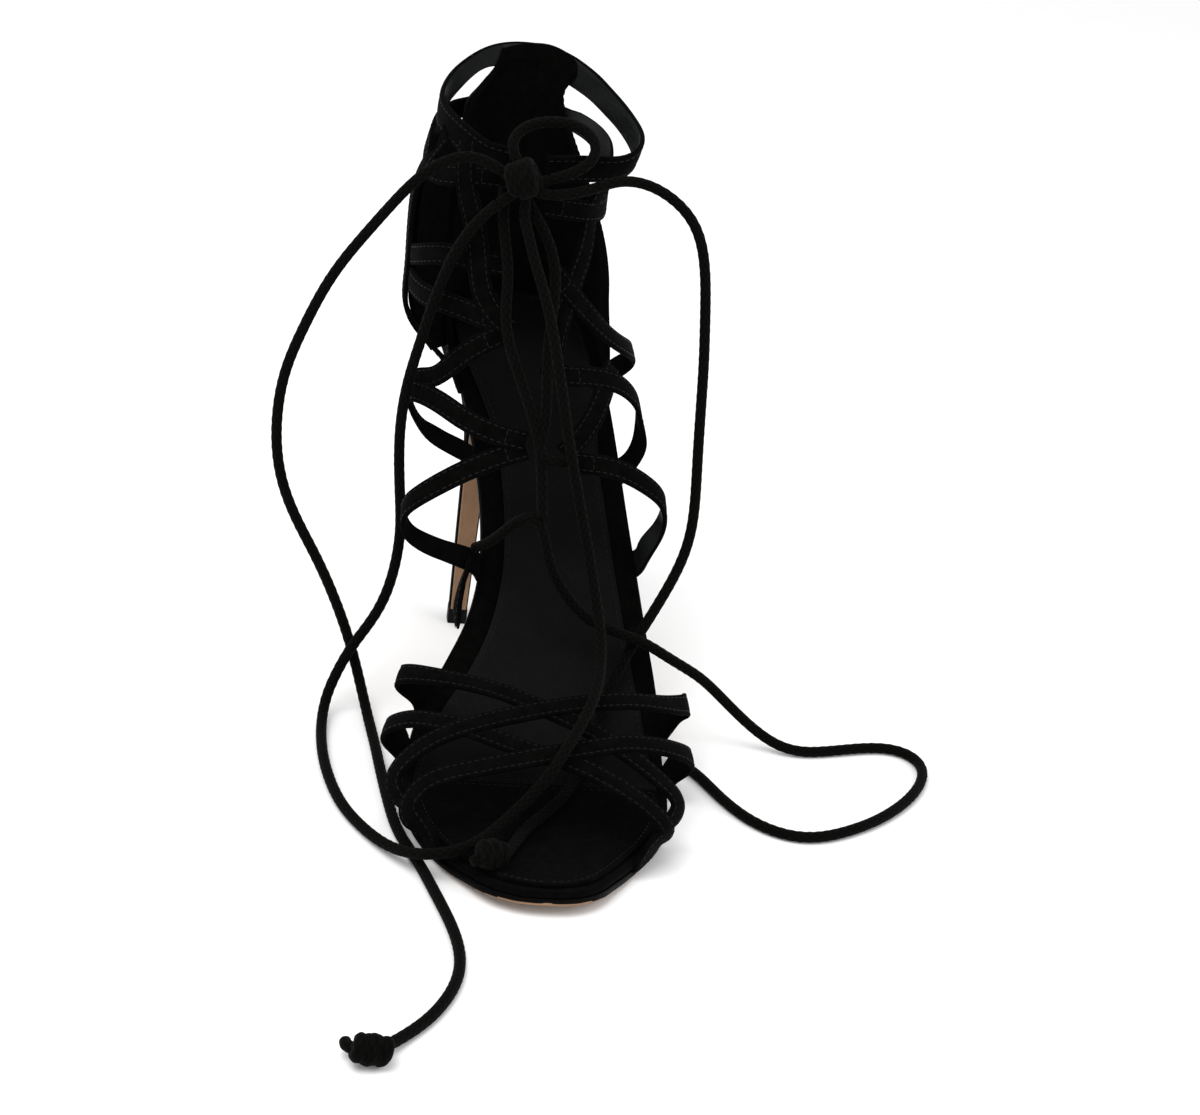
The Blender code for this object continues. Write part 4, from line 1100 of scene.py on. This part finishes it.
# ---------------------------------------------------------------- operators
class SANDAL_OT_stage(bpy.types.Operator):
    """Floor, soft light and the camera"""
    bl_idname = "sandal.stage"
    bl_label = "Stage"

    FLOOR_REACH = 6.0       # half side of the floor in metres
    # Name, place and size of each lamp; both look at the middle of the shoe
    LAMPS = (("key", (-0.5, -0.5, 1.3), 1.0), ("fill", (0.9, -0.7, 0.8), 0.8))
    AIM = Vector((0, 0, 0.1))
    # Camera: its place in the frame of the tables, its line of sight and its right-hand side
    CAMERA_PLACE = (-129.47, -742.92, 460.89)
    CAMERA_FORWARD = Vector((0.15801, 0.89614, -0.41469))
    CAMERA_RIGHT = Vector((0.98547, -0.11662, 0.12350))
    SENSOR = 36.0           # width in millimetres

    def lay_floor(self, scene, colour):
        """A wide sheet of paper."""
        bm = bmesh.new()
        bmesh.ops.create_grid(bm, x_segments=8, y_segments=8, size=self.FLOOR_REACH)
        mesh = bpy.data.meshes.new("floor")
        bm.to_mesh(mesh)
        bm.free()
        floor = bpy.data.objects.new("floor", mesh)
        mesh.materials.append(floor_finish("floor_paper", colour))
        scene.collection.objects.link(floor)

    def light(self, scene, settings):
        """White light from all round and two large soft lamps."""
        world = bpy.data.worlds.new("room")
        world.use_nodes = True
        background = world.node_tree.nodes["Background"]
        background.inputs["Color"].default_value = (1, 1, 1, 1)
        background.inputs["Strength"].default_value = settings.world
        scene.world = world
        for name, where, size in self.LAMPS:
            lamp = bpy.data.lights.new(name, "AREA")
            lamp.energy = getattr(settings, name)
            lamp.size = size
            light = bpy.data.objects.new(name, lamp)
            light.location = where
            light.rotation_mode = "QUATERNION"
            light.rotation_quaternion = (self.AIM - Vector(where)).to_track_quat("-Z", "Y")
            scene.collection.objects.link(light)
        scene.view_settings.view_transform = "Standard"

    def set_camera(self, scene, lens):
        """The camera, looking down at the shoe from the front."""
        view = bpy.data.cameras.new("view")
        view.lens = lens
        view.sensor_width = self.SENSOR
        camera = bpy.data.objects.new("camera", view)
        forward = self.CAMERA_FORWARD.normalized()
        right = (self.CAMERA_RIGHT - forward * self.CAMERA_RIGHT.dot(forward)).normalized()
        turn = Matrix((right, right.cross(forward), -forward)).transposed().to_4x4()
        camera.matrix_world = Matrix.Translation(place(*self.CAMERA_PLACE)) @ turn
        scene.collection.objects.link(camera)
        scene.camera = camera

    def execute(self, context):
        settings = context.scene.sandal_stage
        self.lay_floor(context.scene, settings.floor)
        self.light(context.scene, settings)
        self.set_camera(context.scene, settings.lens)
        return {"FINISHED"}


class SANDAL_OT_knots(bpy.types.Operator):
    """The bow knot on the throat and the overhand knot at each end of the lace"""
    bl_idname = "sandal.knots"
    bl_label = "Knots"

    # Strands that run into the bow knot: x, distance from toe, height
    BOW = (
        ((-19.5, 145, 179.3), (-16.4, 144.4, 177.6), (-12.4, 143.4, 175.6), (-8.0, 142.6, 174.4),
         (-4, 142, 174)),
        ((-20.5, 141.5, 170.2), (-17.0, 142.6, 172.4), (-12.6, 143.8, 174.8), (-8.4, 144.4, 176.6),
         (-4.6, 144.8, 178.3)),
        ((-11.9, 141.7, 166.9), (-11.8, 142.6, 170.0), (-12.4, 143.6, 174.0)),
        ((-14.5, 146.5, 181.5), (-13.6, 145.4, 179.0), (-12.6, 144.0, 176.0)),
    )
    # Wound knots: name, node, centre, axis, turns, radius and length of the winding, strands
    WOUND = (
        ("bow_knot", "lace_knot", (-13.2, 143.4, 178.0), (1, -0.05, 0.5), 2.6, 4.2, 7.0, BOW),
        ("overhand_knot_inner", "stopper_knot_inner", (-55.4, -77.6, 5.0), (1, 0.16, -0.12), 2.2, 2.5, 8.0,
         (((-50.6, -72.8, 3.2), (-51.2, -74.4, 4.0), (-55.2, -77.6, 4.8), (-59.4, -76.8, 4.6),
           (-61.6, -74.4, 4.0), (-61.9, -71.8, 3.6)),)),
        ("overhand_knot_outer", "stopper_knot_outer", (-16.5, 12.5, 13.4), (1, 0.55, -0.1), 2.1, 2.6, 6.0,
         (((-11.9, 16.3, 10.9), (-13.4, 15.2, 12.0), (-16.4, 12.6, 13.2), (-20.0, 10.4, 13.0),
           (-22.4, 9.0, 12.4)),)),
    )

    TURN_STEPS = 14     # points of one turn
    TUCK_STEPS = 4      # points of each end that is drawn inside
    THICK = 1.2         # the wound lace, as part of the free one
    TUCK = 0.75         # how far its ends are drawn in, as part of the winding's radius
    CORE_END = 1.3      # of the core past each end of the winding
    CORE_THICK = 1.05   # of the core outside the winding's radius, as part of the lace's radius

    def winding(self, middle, axis, turns, reach, length):
        """Close turns of lace round a core, with both ends drawn inside."""
        side = axis.cross(Vector((0, 0, 1))).normalized()
        up = side.cross(axis)
        count = round(self.TURN_STEPS * turns)
        path = []
        for step in range(-self.TUCK_STEPS, count + self.TUCK_STEPS + 1):
            turn = 2 * math.pi * turns * step / count
            tucked = max(0, -step, step - count) / self.TUCK_STEPS
            along = (min(max(step / count, 0.0), 1.0) - 0.5) * length
            path.append(middle + (axis * along + (side * math.cos(turn) + up * math.sin(turn))
                                  * reach * (1 - self.TUCK * tucked)) * MM)
        return path

    def core(self, part):
        """Thickness of the core inside the turns along its length, drawn in towards both ends."""
        return max(0.2, 1 - abs(2 * part - 1) ** 2.6) ** 0.5

    def execute(self, context):
        lace = context.scene.sandal_lace
        radius = 0.5 * lace.diameter
        for name, node, centre, axis, turns, reach, length, strands in self.WOUND:
            middle, axis = place(*centre), Vector(axis).normalized()
            bm = bmesh.new()
            for strand in strands:
                add_lace(bm, catmull([place(*point) for point in strand], 10), radius, lace.pitch)
            turned = self.winding(middle, axis, turns, reach, length)
            add_lace(bm, catmull(turned, 6), self.THICK * radius, lace.pitch)
            half = axis * (0.5 * length + self.CORE_END) * MM
            add_lace(bm, [middle - half, middle + half], reach * MM + self.CORE_THICK * radius, lace.pitch,
                     self.core)
            settle(name, bm, ["lace"], "cord", [node], LACE_SMOOTH)
        return {"FINISHED"}


class SANDAL_OT_laces(bpy.types.Operator):
    """Free laces: both ends, both bow loops and the slack that lies outside"""
    bl_idname = "sandal.laces"
    bl_label = "Laces"

    # Name, node, far end, the separate piece on it
    LACES = (
        ("inner_end_lace", "lace_end_inner", "knot", "overhand_knot_inner"),
        ("long_loop_lace", "lace_loop_long", "object", None),
        ("short_loop_lace", "lace_loop_short", "object", "bow_knot"),
        ("outer_end_lace", "lace_end_outer", "knot", "overhand_knot_outer"),
        ("slack_lace", "lace_slack", "object", None),
    )
    EVERY = 12

    def execute(self, context):
        lace = context.scene.sandal_lace
        for name, node, far_end, end_piece in self.LACES:
            path = laid_curve([place(*point) for point in ROUTES[node]])
            bm = bmesh.new()
            add_lace(bm, path, 0.5 * lace.diameter, lace.pitch)
            piece = settle(name, bm, ["lace"], "cord", [node], LACE_SMOOTH)
        return {"FINISHED"}


class SANDAL_OT_lacing(bpy.types.Operator):
    """The lace that runs down the throat through the ends of the straps"""
    bl_idname = "sandal.lacing"
    bl_label = "Lacing"

    CLEAR = 1.3     # of the lace over the form of the foot
    CROSSING = 6    # stop of the slack where the inner run meets it

    def execute(self, context):
        lace = context.scene.sandal_lace
        over = self.CLEAR + 0.5 * lace.diameter / MM
        inner = [cage_station(angle, height, over)[0] for angle, height in LACE_INNER]
        inner.append(place(*ROUTES["lace_slack"][self.CROSSING]))
        outer = [cage_station(angle, height, over)[0] for angle, height in LACE_OUTER]
        bm = bmesh.new()
        for stops in (inner, outer):
            add_lace(bm, laid_curve(stops), 0.5 * lace.diameter, lace.pitch)
        settle("throat_lacing", bm, ["lace"], "cord", ["lace_crossings"], LACE_SMOOTH)
        return {"FINISHED"}


class SANDAL_OT_sole(bpy.types.Operator):
    """Covered footbed board and leather outsole with a painted edge"""
    bl_idname = "sandal.sole"
    bl_label = "Sole"

    SPREAD = 0.2    # of the outsole past the board
    ROLL = 0.22     # of its edge, as part of its thickness

    def finish(self, depth, along):
        """Painted edge above, bare leather below; the paint is narrower at the toe."""
        return 1 if depth > min(0.955, 0.64 + 0.035 * along) else 0

    def execute(self, context):
        sole = context.scene.sandal_sole
        board, outsole = sole.board / MM, sole.outsole / MM
        bm = bmesh.new()
        add_sole_layer(bm, 0, FLOOR_LENGTH, 0.0, board, lambda along: (inner_edge(along), outer_edge(along)))
        settle("footbed_board", bm, ["suede"], "suede", ["footbed"])
        bm = bmesh.new()
        add_sole_layer(bm, 0.0, OUTSOLE_END, -(board + GAP), outsole,
                       lambda along: (inner_edge(along) - self.SPREAD, outer_edge(along) + self.SPREAD),
                       self.finish, self.ROLL)
        settle("leather_outsole", bm, ["edge", "tan"], "sole_leather", ["outsole"])
        return {"FINISHED"}


class SANDAL_OT_insole(bpy.types.Operator):
    """Insole leather, the suede under the toes, and the stitching round both"""
    bl_idname = "sandal.insole"
    bl_label = "Insole"

    # Name, node, finish, slot, first and last distance from the toe, and the end that lies at the join
    LAYERS = (
        ("toe_sock", "insole_toe", "suede", "suede", 2.5, 68.7, 1),
        ("insole_sock", "insole", "insole", "smooth_leather", 69, 211.5, 0),
    )
    INSET = 1.6     # of the stitches from the edge
    RISE = 0.02     # of the stitches over the leather
    STEPS = 90

    def stitch_round(self, stitches, start, end, join, top, pitch):
        """A row along each side of a layer and one across it at the join."""
        inset = self.INSET
        run = end - start - 2 * inset
        places = [start + inset + run * (0.5 - 0.5 * math.cos(math.pi * step / self.STEPS))
                  for step in range(self.STEPS + 1)]
        normals = [Vector((0, -math.sin(slope), math.cos(slope))) for slope in map(footbed_slope, places)]
        for column, side in ((2, -1), (3, 1)):
            line = smooth_outline(FOOTBED, column, lambda along: MARGIN(along) + inset)
            stitches.row([lifted(side * line(along), along, top) for along in places], normals, pitch)
        seam = (start + inset, end - inset)[join]
        ends = (-SOCK_INNER(seam) + inset, SOCK_OUTER(seam) - inset)
        stitches.row([lifted(x, seam, top) for x in ends], [Vector((0, 0, 1))] * 2, pitch)

    def execute(self, context):
        sock = context.scene.sandal_sole.sock / MM
        pitch = context.scene.sandal_straps.stitch_pitch
        stitches = Stitches()
        for name, node, finish, slot, start, end, join in self.LAYERS:
            bm = bmesh.new()
            add_sole_layer(bm, start, end, GAP + sock, sock,
                           lambda along: (-SOCK_INNER(along), SOCK_OUTER(along)), count=self.STEPS)
            settle(name, bm, [finish], slot, [node])
            self.stitch_round(stitches, start, end, join, GAP + sock + self.RISE, pitch)
        stitches.settle("insole_thread", "smooth_leather")
        return {"FINISHED"}


class SANDAL_OT_heel(bpy.types.Operator):
    """Covered stiletto heel, its leather breast and the rubber top piece"""
    bl_idname = "sandal.heel"
    bl_label = "Heel"

    STRIP_OUT = 0.9             # of the breast's leather before the heel
    STRIP_WIDTH = 0.86          # of it, as part of the breast's width
    STRIP_THICKNESS = 1.0
    STRIP_START = (0, 0.6, -0.9)    # way of its first point, clear of the board
    # Height and growth of the top piece's sections, with rounded rims
    TOP_PIECE = ((0.0, 0.98), (0.15, 1.03), (0.5, 1.06), (5.0, 1.06), (5.45, 1.05), (TIP_HEIGHT, 1.01))

    def skin(self, outlines, stretch=1.0):
        """A closed skin over level outlines."""
        rings = [[place(*point) for point in outline] for outline in outlines]
        columns = len(rings[0])
        bm = bmesh.new()
        close_tube(bm, laid_grid(bm, columns, len(rings) - 1,
                                 lambda column, row: rings[row][column % columns], stretch))
        return bm

    def execute(self, context):
        sections = heel_sections()
        cover = self.skin([ring(section) for section in sections], 10)
        settle("heel_cover", cover, ["suede"], "suede", ["heel"])

        fronts = [section[0] for section in sections]
        points = [place(x, along - self.STRIP_OUT, height) for along, x, half, height in fronts]
        points[0] += Vector(self.STRIP_START) * MM
        frames = [(point, Vector((0, run.z, -run.y)).normalized(), Vector((1, 0, 0)))
                  for point, run in zip(points, runs_along(points))]
        widths = [2 * half * self.STRIP_WIDTH * MM for _, _, half, _ in fronts]
        bm = bmesh.new()
        add_band(bm, frames, widths, self.STRIP_THICKNESS * MM, rounded_ends=False)
        settle("breast_strip", bm, ["tan", "tan"], "sole_leather", ["heel_breast"])

        tip = self.skin([ring(heel_foot(height), grow) for height, grow in self.TOP_PIECE])
        settle("top_piece", tip, ["rubber"], "rubber", ["heel_tip"])
        return {"FINISHED"}


class SANDAL_OT_counter(bpy.types.Operator):
    """The closed back, lined, with a stitched seam down its middle"""
    bl_idname = "sandal.counter"
    bl_label = "Counter"

    START = 178.0           # where its lower edge begins on the board
    TUCK = 0.15             # of its wall into the board's edge, so that no light shows between them
    COLUMNS, PANEL_COLUMNS = 64, 10
    SPACING = 0.0017        # between the rows of the skin
    FOOT_LIFTS = (-1.7, 1.0, 4.5)
    HEIGHTS = (125, 132, 140, 148, 157, 166, 175, 180.5, 184, 185.8, 187.5, 190.5, 194, 197, 200, 202.6)
    # Its top edge dips towards the inner and the outer front, from this height up, in full after the reach
    INNER_DIP, OUTER_DIP, DIP_START, DIP_REACH = 1.8, 5.3, 187.5, 15
    MIDDLE = (-2, 195, 160)     # a place inside it
    EDGE_RADIUS = 0.0005

    def foot(self, wall):
        """Rows that follow the edge of the board."""
        places = [self.START + (FLOOR_LENGTH - self.START) * math.sin(0.5 * math.pi * step / 40)
                  for step in range(41)]
        flat = [Vector((inner_edge(y), y, 0)) for y in places]
        flat += [Vector((outer_edge(y), y, 0)) for y in reversed(places)]
        even = resample(flat, path_length(flat) / self.COLUMNS)
        clear = wall - self.TUCK
        spots = [point + Vector((-run.y, run.x, 0)).normalized() * clear
                 for point, run in zip(even, runs_along(even))]
        return [[lifted(spot.x, min(spot.y, FLOOR_LENGTH + clear), lift) for spot in spots]
                for lift in self.FOOT_LIFTS]

    def level(self, height, count):
        """The U of the counter at a height."""
        inner, outer, inner_front, outer_front, back = (column(height) for column in COUNTER)
        row = []
        for i in range(count):
            part = i / (count - 1)
            turn = math.pi * (1 + part)
            x = 0.5 * (inner + outer) + 0.5 * (outer - inner) * math.cos(turn)
            front = inner_front + (outer_front - inner_front) * part
            dip = ((self.INNER_DIP if part < 0.5 else self.OUTER_DIP) * math.cos(turn) ** 2
                   * max(0.0, (height - self.DIP_START) / self.DIP_REACH))
            row.append(place(x, front + (back - front) * abs(math.sin(turn)) ** 0.8, height - dip))
        return row

    def upright_lines(self, rows):
        """Smooth lines up through the rows, all with as many points."""
        lines = [resample(catmull(list(line), 6), self.SPACING) for line in zip(*rows)]
        count = max(len(line) for line in lines) - 1
        return [resample(line, path_length(line) / count) for line in lines]

    def skin(self, lines, stretch):
        """An open skin between upright lines."""
        bm = bmesh.new()
        laid_grid(bm, len(lines) - 1, len(lines[0]) - 1, lambda column, row: lines[column][row], stretch)
        bm.faces.ensure_lookup_table()
        bm.normal_update()
        return bm

    def thicken(self, shell, thickness):
        """Gives the skin its wall and rounds the wall's edges."""
        wall = shell.modifiers.new("Wall", "SOLIDIFY")
        wall.thickness = thickness
        wall.offset = -1
        wall.material_offset = 1
        rolled = shell.modifiers.new("Rolled edge", "BEVEL")
        rolled.width = self.EDGE_RADIUS
        rolled.segments = 3
        rolled.limit_method = "ANGLE"
        rolled.angle_limit = math.radians(50)

    def execute(self, context):
        straps = context.scene.sandal_straps
        middle = place(*self.MIDDLE)
        rows = self.foot(straps.counter / MM)
        rows += [self.level(height, len(rows[0])) for height in self.HEIGHTS]
        lines = self.upright_lines(rows)
        bm = self.skin(lines, 10)
        face = bm.faces[len(bm.faces) // 2]
        if face.normal.dot(face.calc_center_median() - middle) < 0:
            bmesh.ops.reverse_faces(bm, faces=bm.faces)
        panel = self.skin(self.upright_lines(panel_rows(self.PANEL_COLUMNS)), 4)
        if sum((face.normal for face in panel.faces), Vector()).x > 0:
            bmesh.ops.reverse_faces(panel, faces=panel.faces)
        append(bm, panel)
        self.thicken(settle("counter_shell", bm, ["suede", "suede"], "suede", ["upper"]), straps.counter)

        stitches = Stitches()
        half = self.COLUMNS // 2
        for column in (1, half - 1, half + 1, self.COLUMNS - 1):
            line = lines[column]
            normals = []
            for point, run, left, right in zip(line, runs_along(line), lines[column - 1], lines[column + 1]):
                normal = (right - left).cross(run).normalized()
                normals.append(normal if normal.dot(point - middle) > 0 else -normal)
            stitches.row(line[2:-6], normals[2:-6], straps.stitch_pitch)
        stitches.settle("counter_thread")
        return {"FINISHED"}


class SANDAL_OT_cage(bpy.types.Operator):
    """The collar and the straps that cage the instep and the ankle"""
    bl_idname = "sandal.cage"
    bl_label = "Cage"

    LINK_WIDTH = 0.005
    FLARE = 0.35            # growth of a strap's width where it goes under the footbed
    THROAT = (70, 113)      # angles round the form between which a strap ends at the lacing
    # Where the collar bends up at the back: place, reach, loss of width, rise
    BEND, BEND_REACH, BEND_LOSS, BEND_RISE = (-24, 208, 196), 0.011, 0.28, 0.0012

    def routes(self, straps):
        """Name, width, stations, flare of the first end and whether the last one lies at the throat."""
        yield "collar_band", straps.collar, collar_stations(), 0, False
        yield "inner_link", self.LINK_WIDTH, link_stations(), 0, False
        for side, table in ((-1, INNER_STRAPS), (1, OUTER_STRAPS)):
            for index, (name, rim, route) in enumerate(table):
                path = [] if rim is None else rim_end(rim, side)
                path += [cage_station(*stop[:2], PLY_LIFTS[index % 2] + sum(stop[2:])) for stop in route]
                at_throat = self.THROAT[0] < route[-1][0] % 360 < self.THROAT[1]
                yield name, straps.width, path, 0 if rim is None else self.FLARE, at_throat

    def draw_in(self, frames, widths):
        """Narrows the collar and lifts it a little at its bend."""
        for i, (spot, facing, across) in enumerate(frames):
            near = math.exp(-((spot - place(*self.BEND)).length / self.BEND_REACH) ** 2)
            widths[i] *= 1 - self.BEND_LOSS * near
            frames[i] = (spot + Vector((0, 0, self.BEND_RISE * near)), facing, across)

    def execute(self, context):
        straps = context.scene.sandal_straps
        stitches = Stitches()
        for name, width, path, flare, at_throat in self.routes(straps):
            frames = strap_frames(path)
            widths = strap_widths(len(frames), width, flare, 0)
            if name == "collar_band":
                self.draw_in(frames, widths)
            bm = bmesh.new()
            add_band(bm, frames, widths, straps.thickness)
            settle(name, bm, ["suede", "lining" if name in LINED else "suede"], "suede", ["upper"])
            stitches.beside_strap(frames, widths, straps.stitch_pitch)
            if at_throat:
                stitches.across_strap(frames, -5, width, straps.stitch_pitch)
        stitches.settle("cage_thread")
        return {"FINISHED"}


class SANDAL_OT_forefoot(bpy.types.Operator):
    """The four straps that cross over the toes"""
    bl_idname = "sandal.forefoot"
    bl_label = "Forefoot Straps"

    FLARE = 1.4     # growth of a strap's width where it goes under the footbed

    def execute(self, context):
        straps = context.scene.sandal_straps
        stitches = Stitches()
        for index, (name, inner_rim, outer_rim, route) in enumerate(VAMP_STRAPS):
            path = rim_end(inner_rim, -1)
            path += [vamp_station(along, angle, PLY_LIFTS[index % 2]) for along, angle in route]
            path += reversed(rim_end(outer_rim, 1))
            frames = strap_frames(path)
            widths = strap_widths(len(frames), straps.width, self.FLARE, self.FLARE)
            bm = bmesh.new()
            add_band(bm, frames, widths, straps.thickness)
            settle(name, bm, ["suede", "suede"], "suede", ["vamp_cage"])
            stitches.beside_strap(frames, widths, straps.stitch_pitch)
        stitches.settle("forefoot_thread")
        return {"FINISHED"}


# ---------------------------------------------------------------- panel and start
GROUPS = (("sandal_straps", SandalStraps), ("sandal_sole", SandalSole), ("sandal_lace", SandalLace),
          ("sandal_stage", SandalStage))
OPERATORS = (SANDAL_OT_stage, SANDAL_OT_knots, SANDAL_OT_laces, SANDAL_OT_lacing, SANDAL_OT_sole,
             SANDAL_OT_insole, SANDAL_OT_heel, SANDAL_OT_counter, SANDAL_OT_cage, SANDAL_OT_forefoot)


class SANDAL_PT_build(bpy.types.Panel):
    """Sizes, colours and one button for each group of pieces"""
    bl_label = "Sandal"
    bl_idname = "SANDAL_PT_build"
    bl_space_type = "VIEW_3D"
    bl_region_type = "UI"
    bl_category = "Sandal"

    def draw(self, context):
        for name, group in GROUPS:
            box = self.layout.box()
            box.label(text=group.__doc__)
            for key in group.__annotations__:
                box.prop(getattr(context.scene, name), key)
        for operator in OPERATORS:
            self.layout.operator(operator.bl_idname)


def register():
    for name, group in GROUPS:
        bpy.utils.register_class(group)
        setattr(bpy.types.Scene, name, bpy.props.PointerProperty(type=group))
    for operator in OPERATORS:
        bpy.utils.register_class(operator)
    bpy.utils.register_class(SANDAL_PT_build)


def unregister():
    bpy.utils.unregister_class(SANDAL_PT_build)
    for operator in reversed(OPERATORS):
        bpy.utils.unregister_class(operator)
    for name, group in reversed(GROUPS):
        delattr(bpy.types.Scene, name)
        bpy.utils.unregister_class(group)


def main():
    register()
    for operator in OPERATORS:
        group, action = operator.bl_idname.split(".")
        getattr(getattr(bpy.ops, group), action)()


if __name__ == "__main__":
    main()
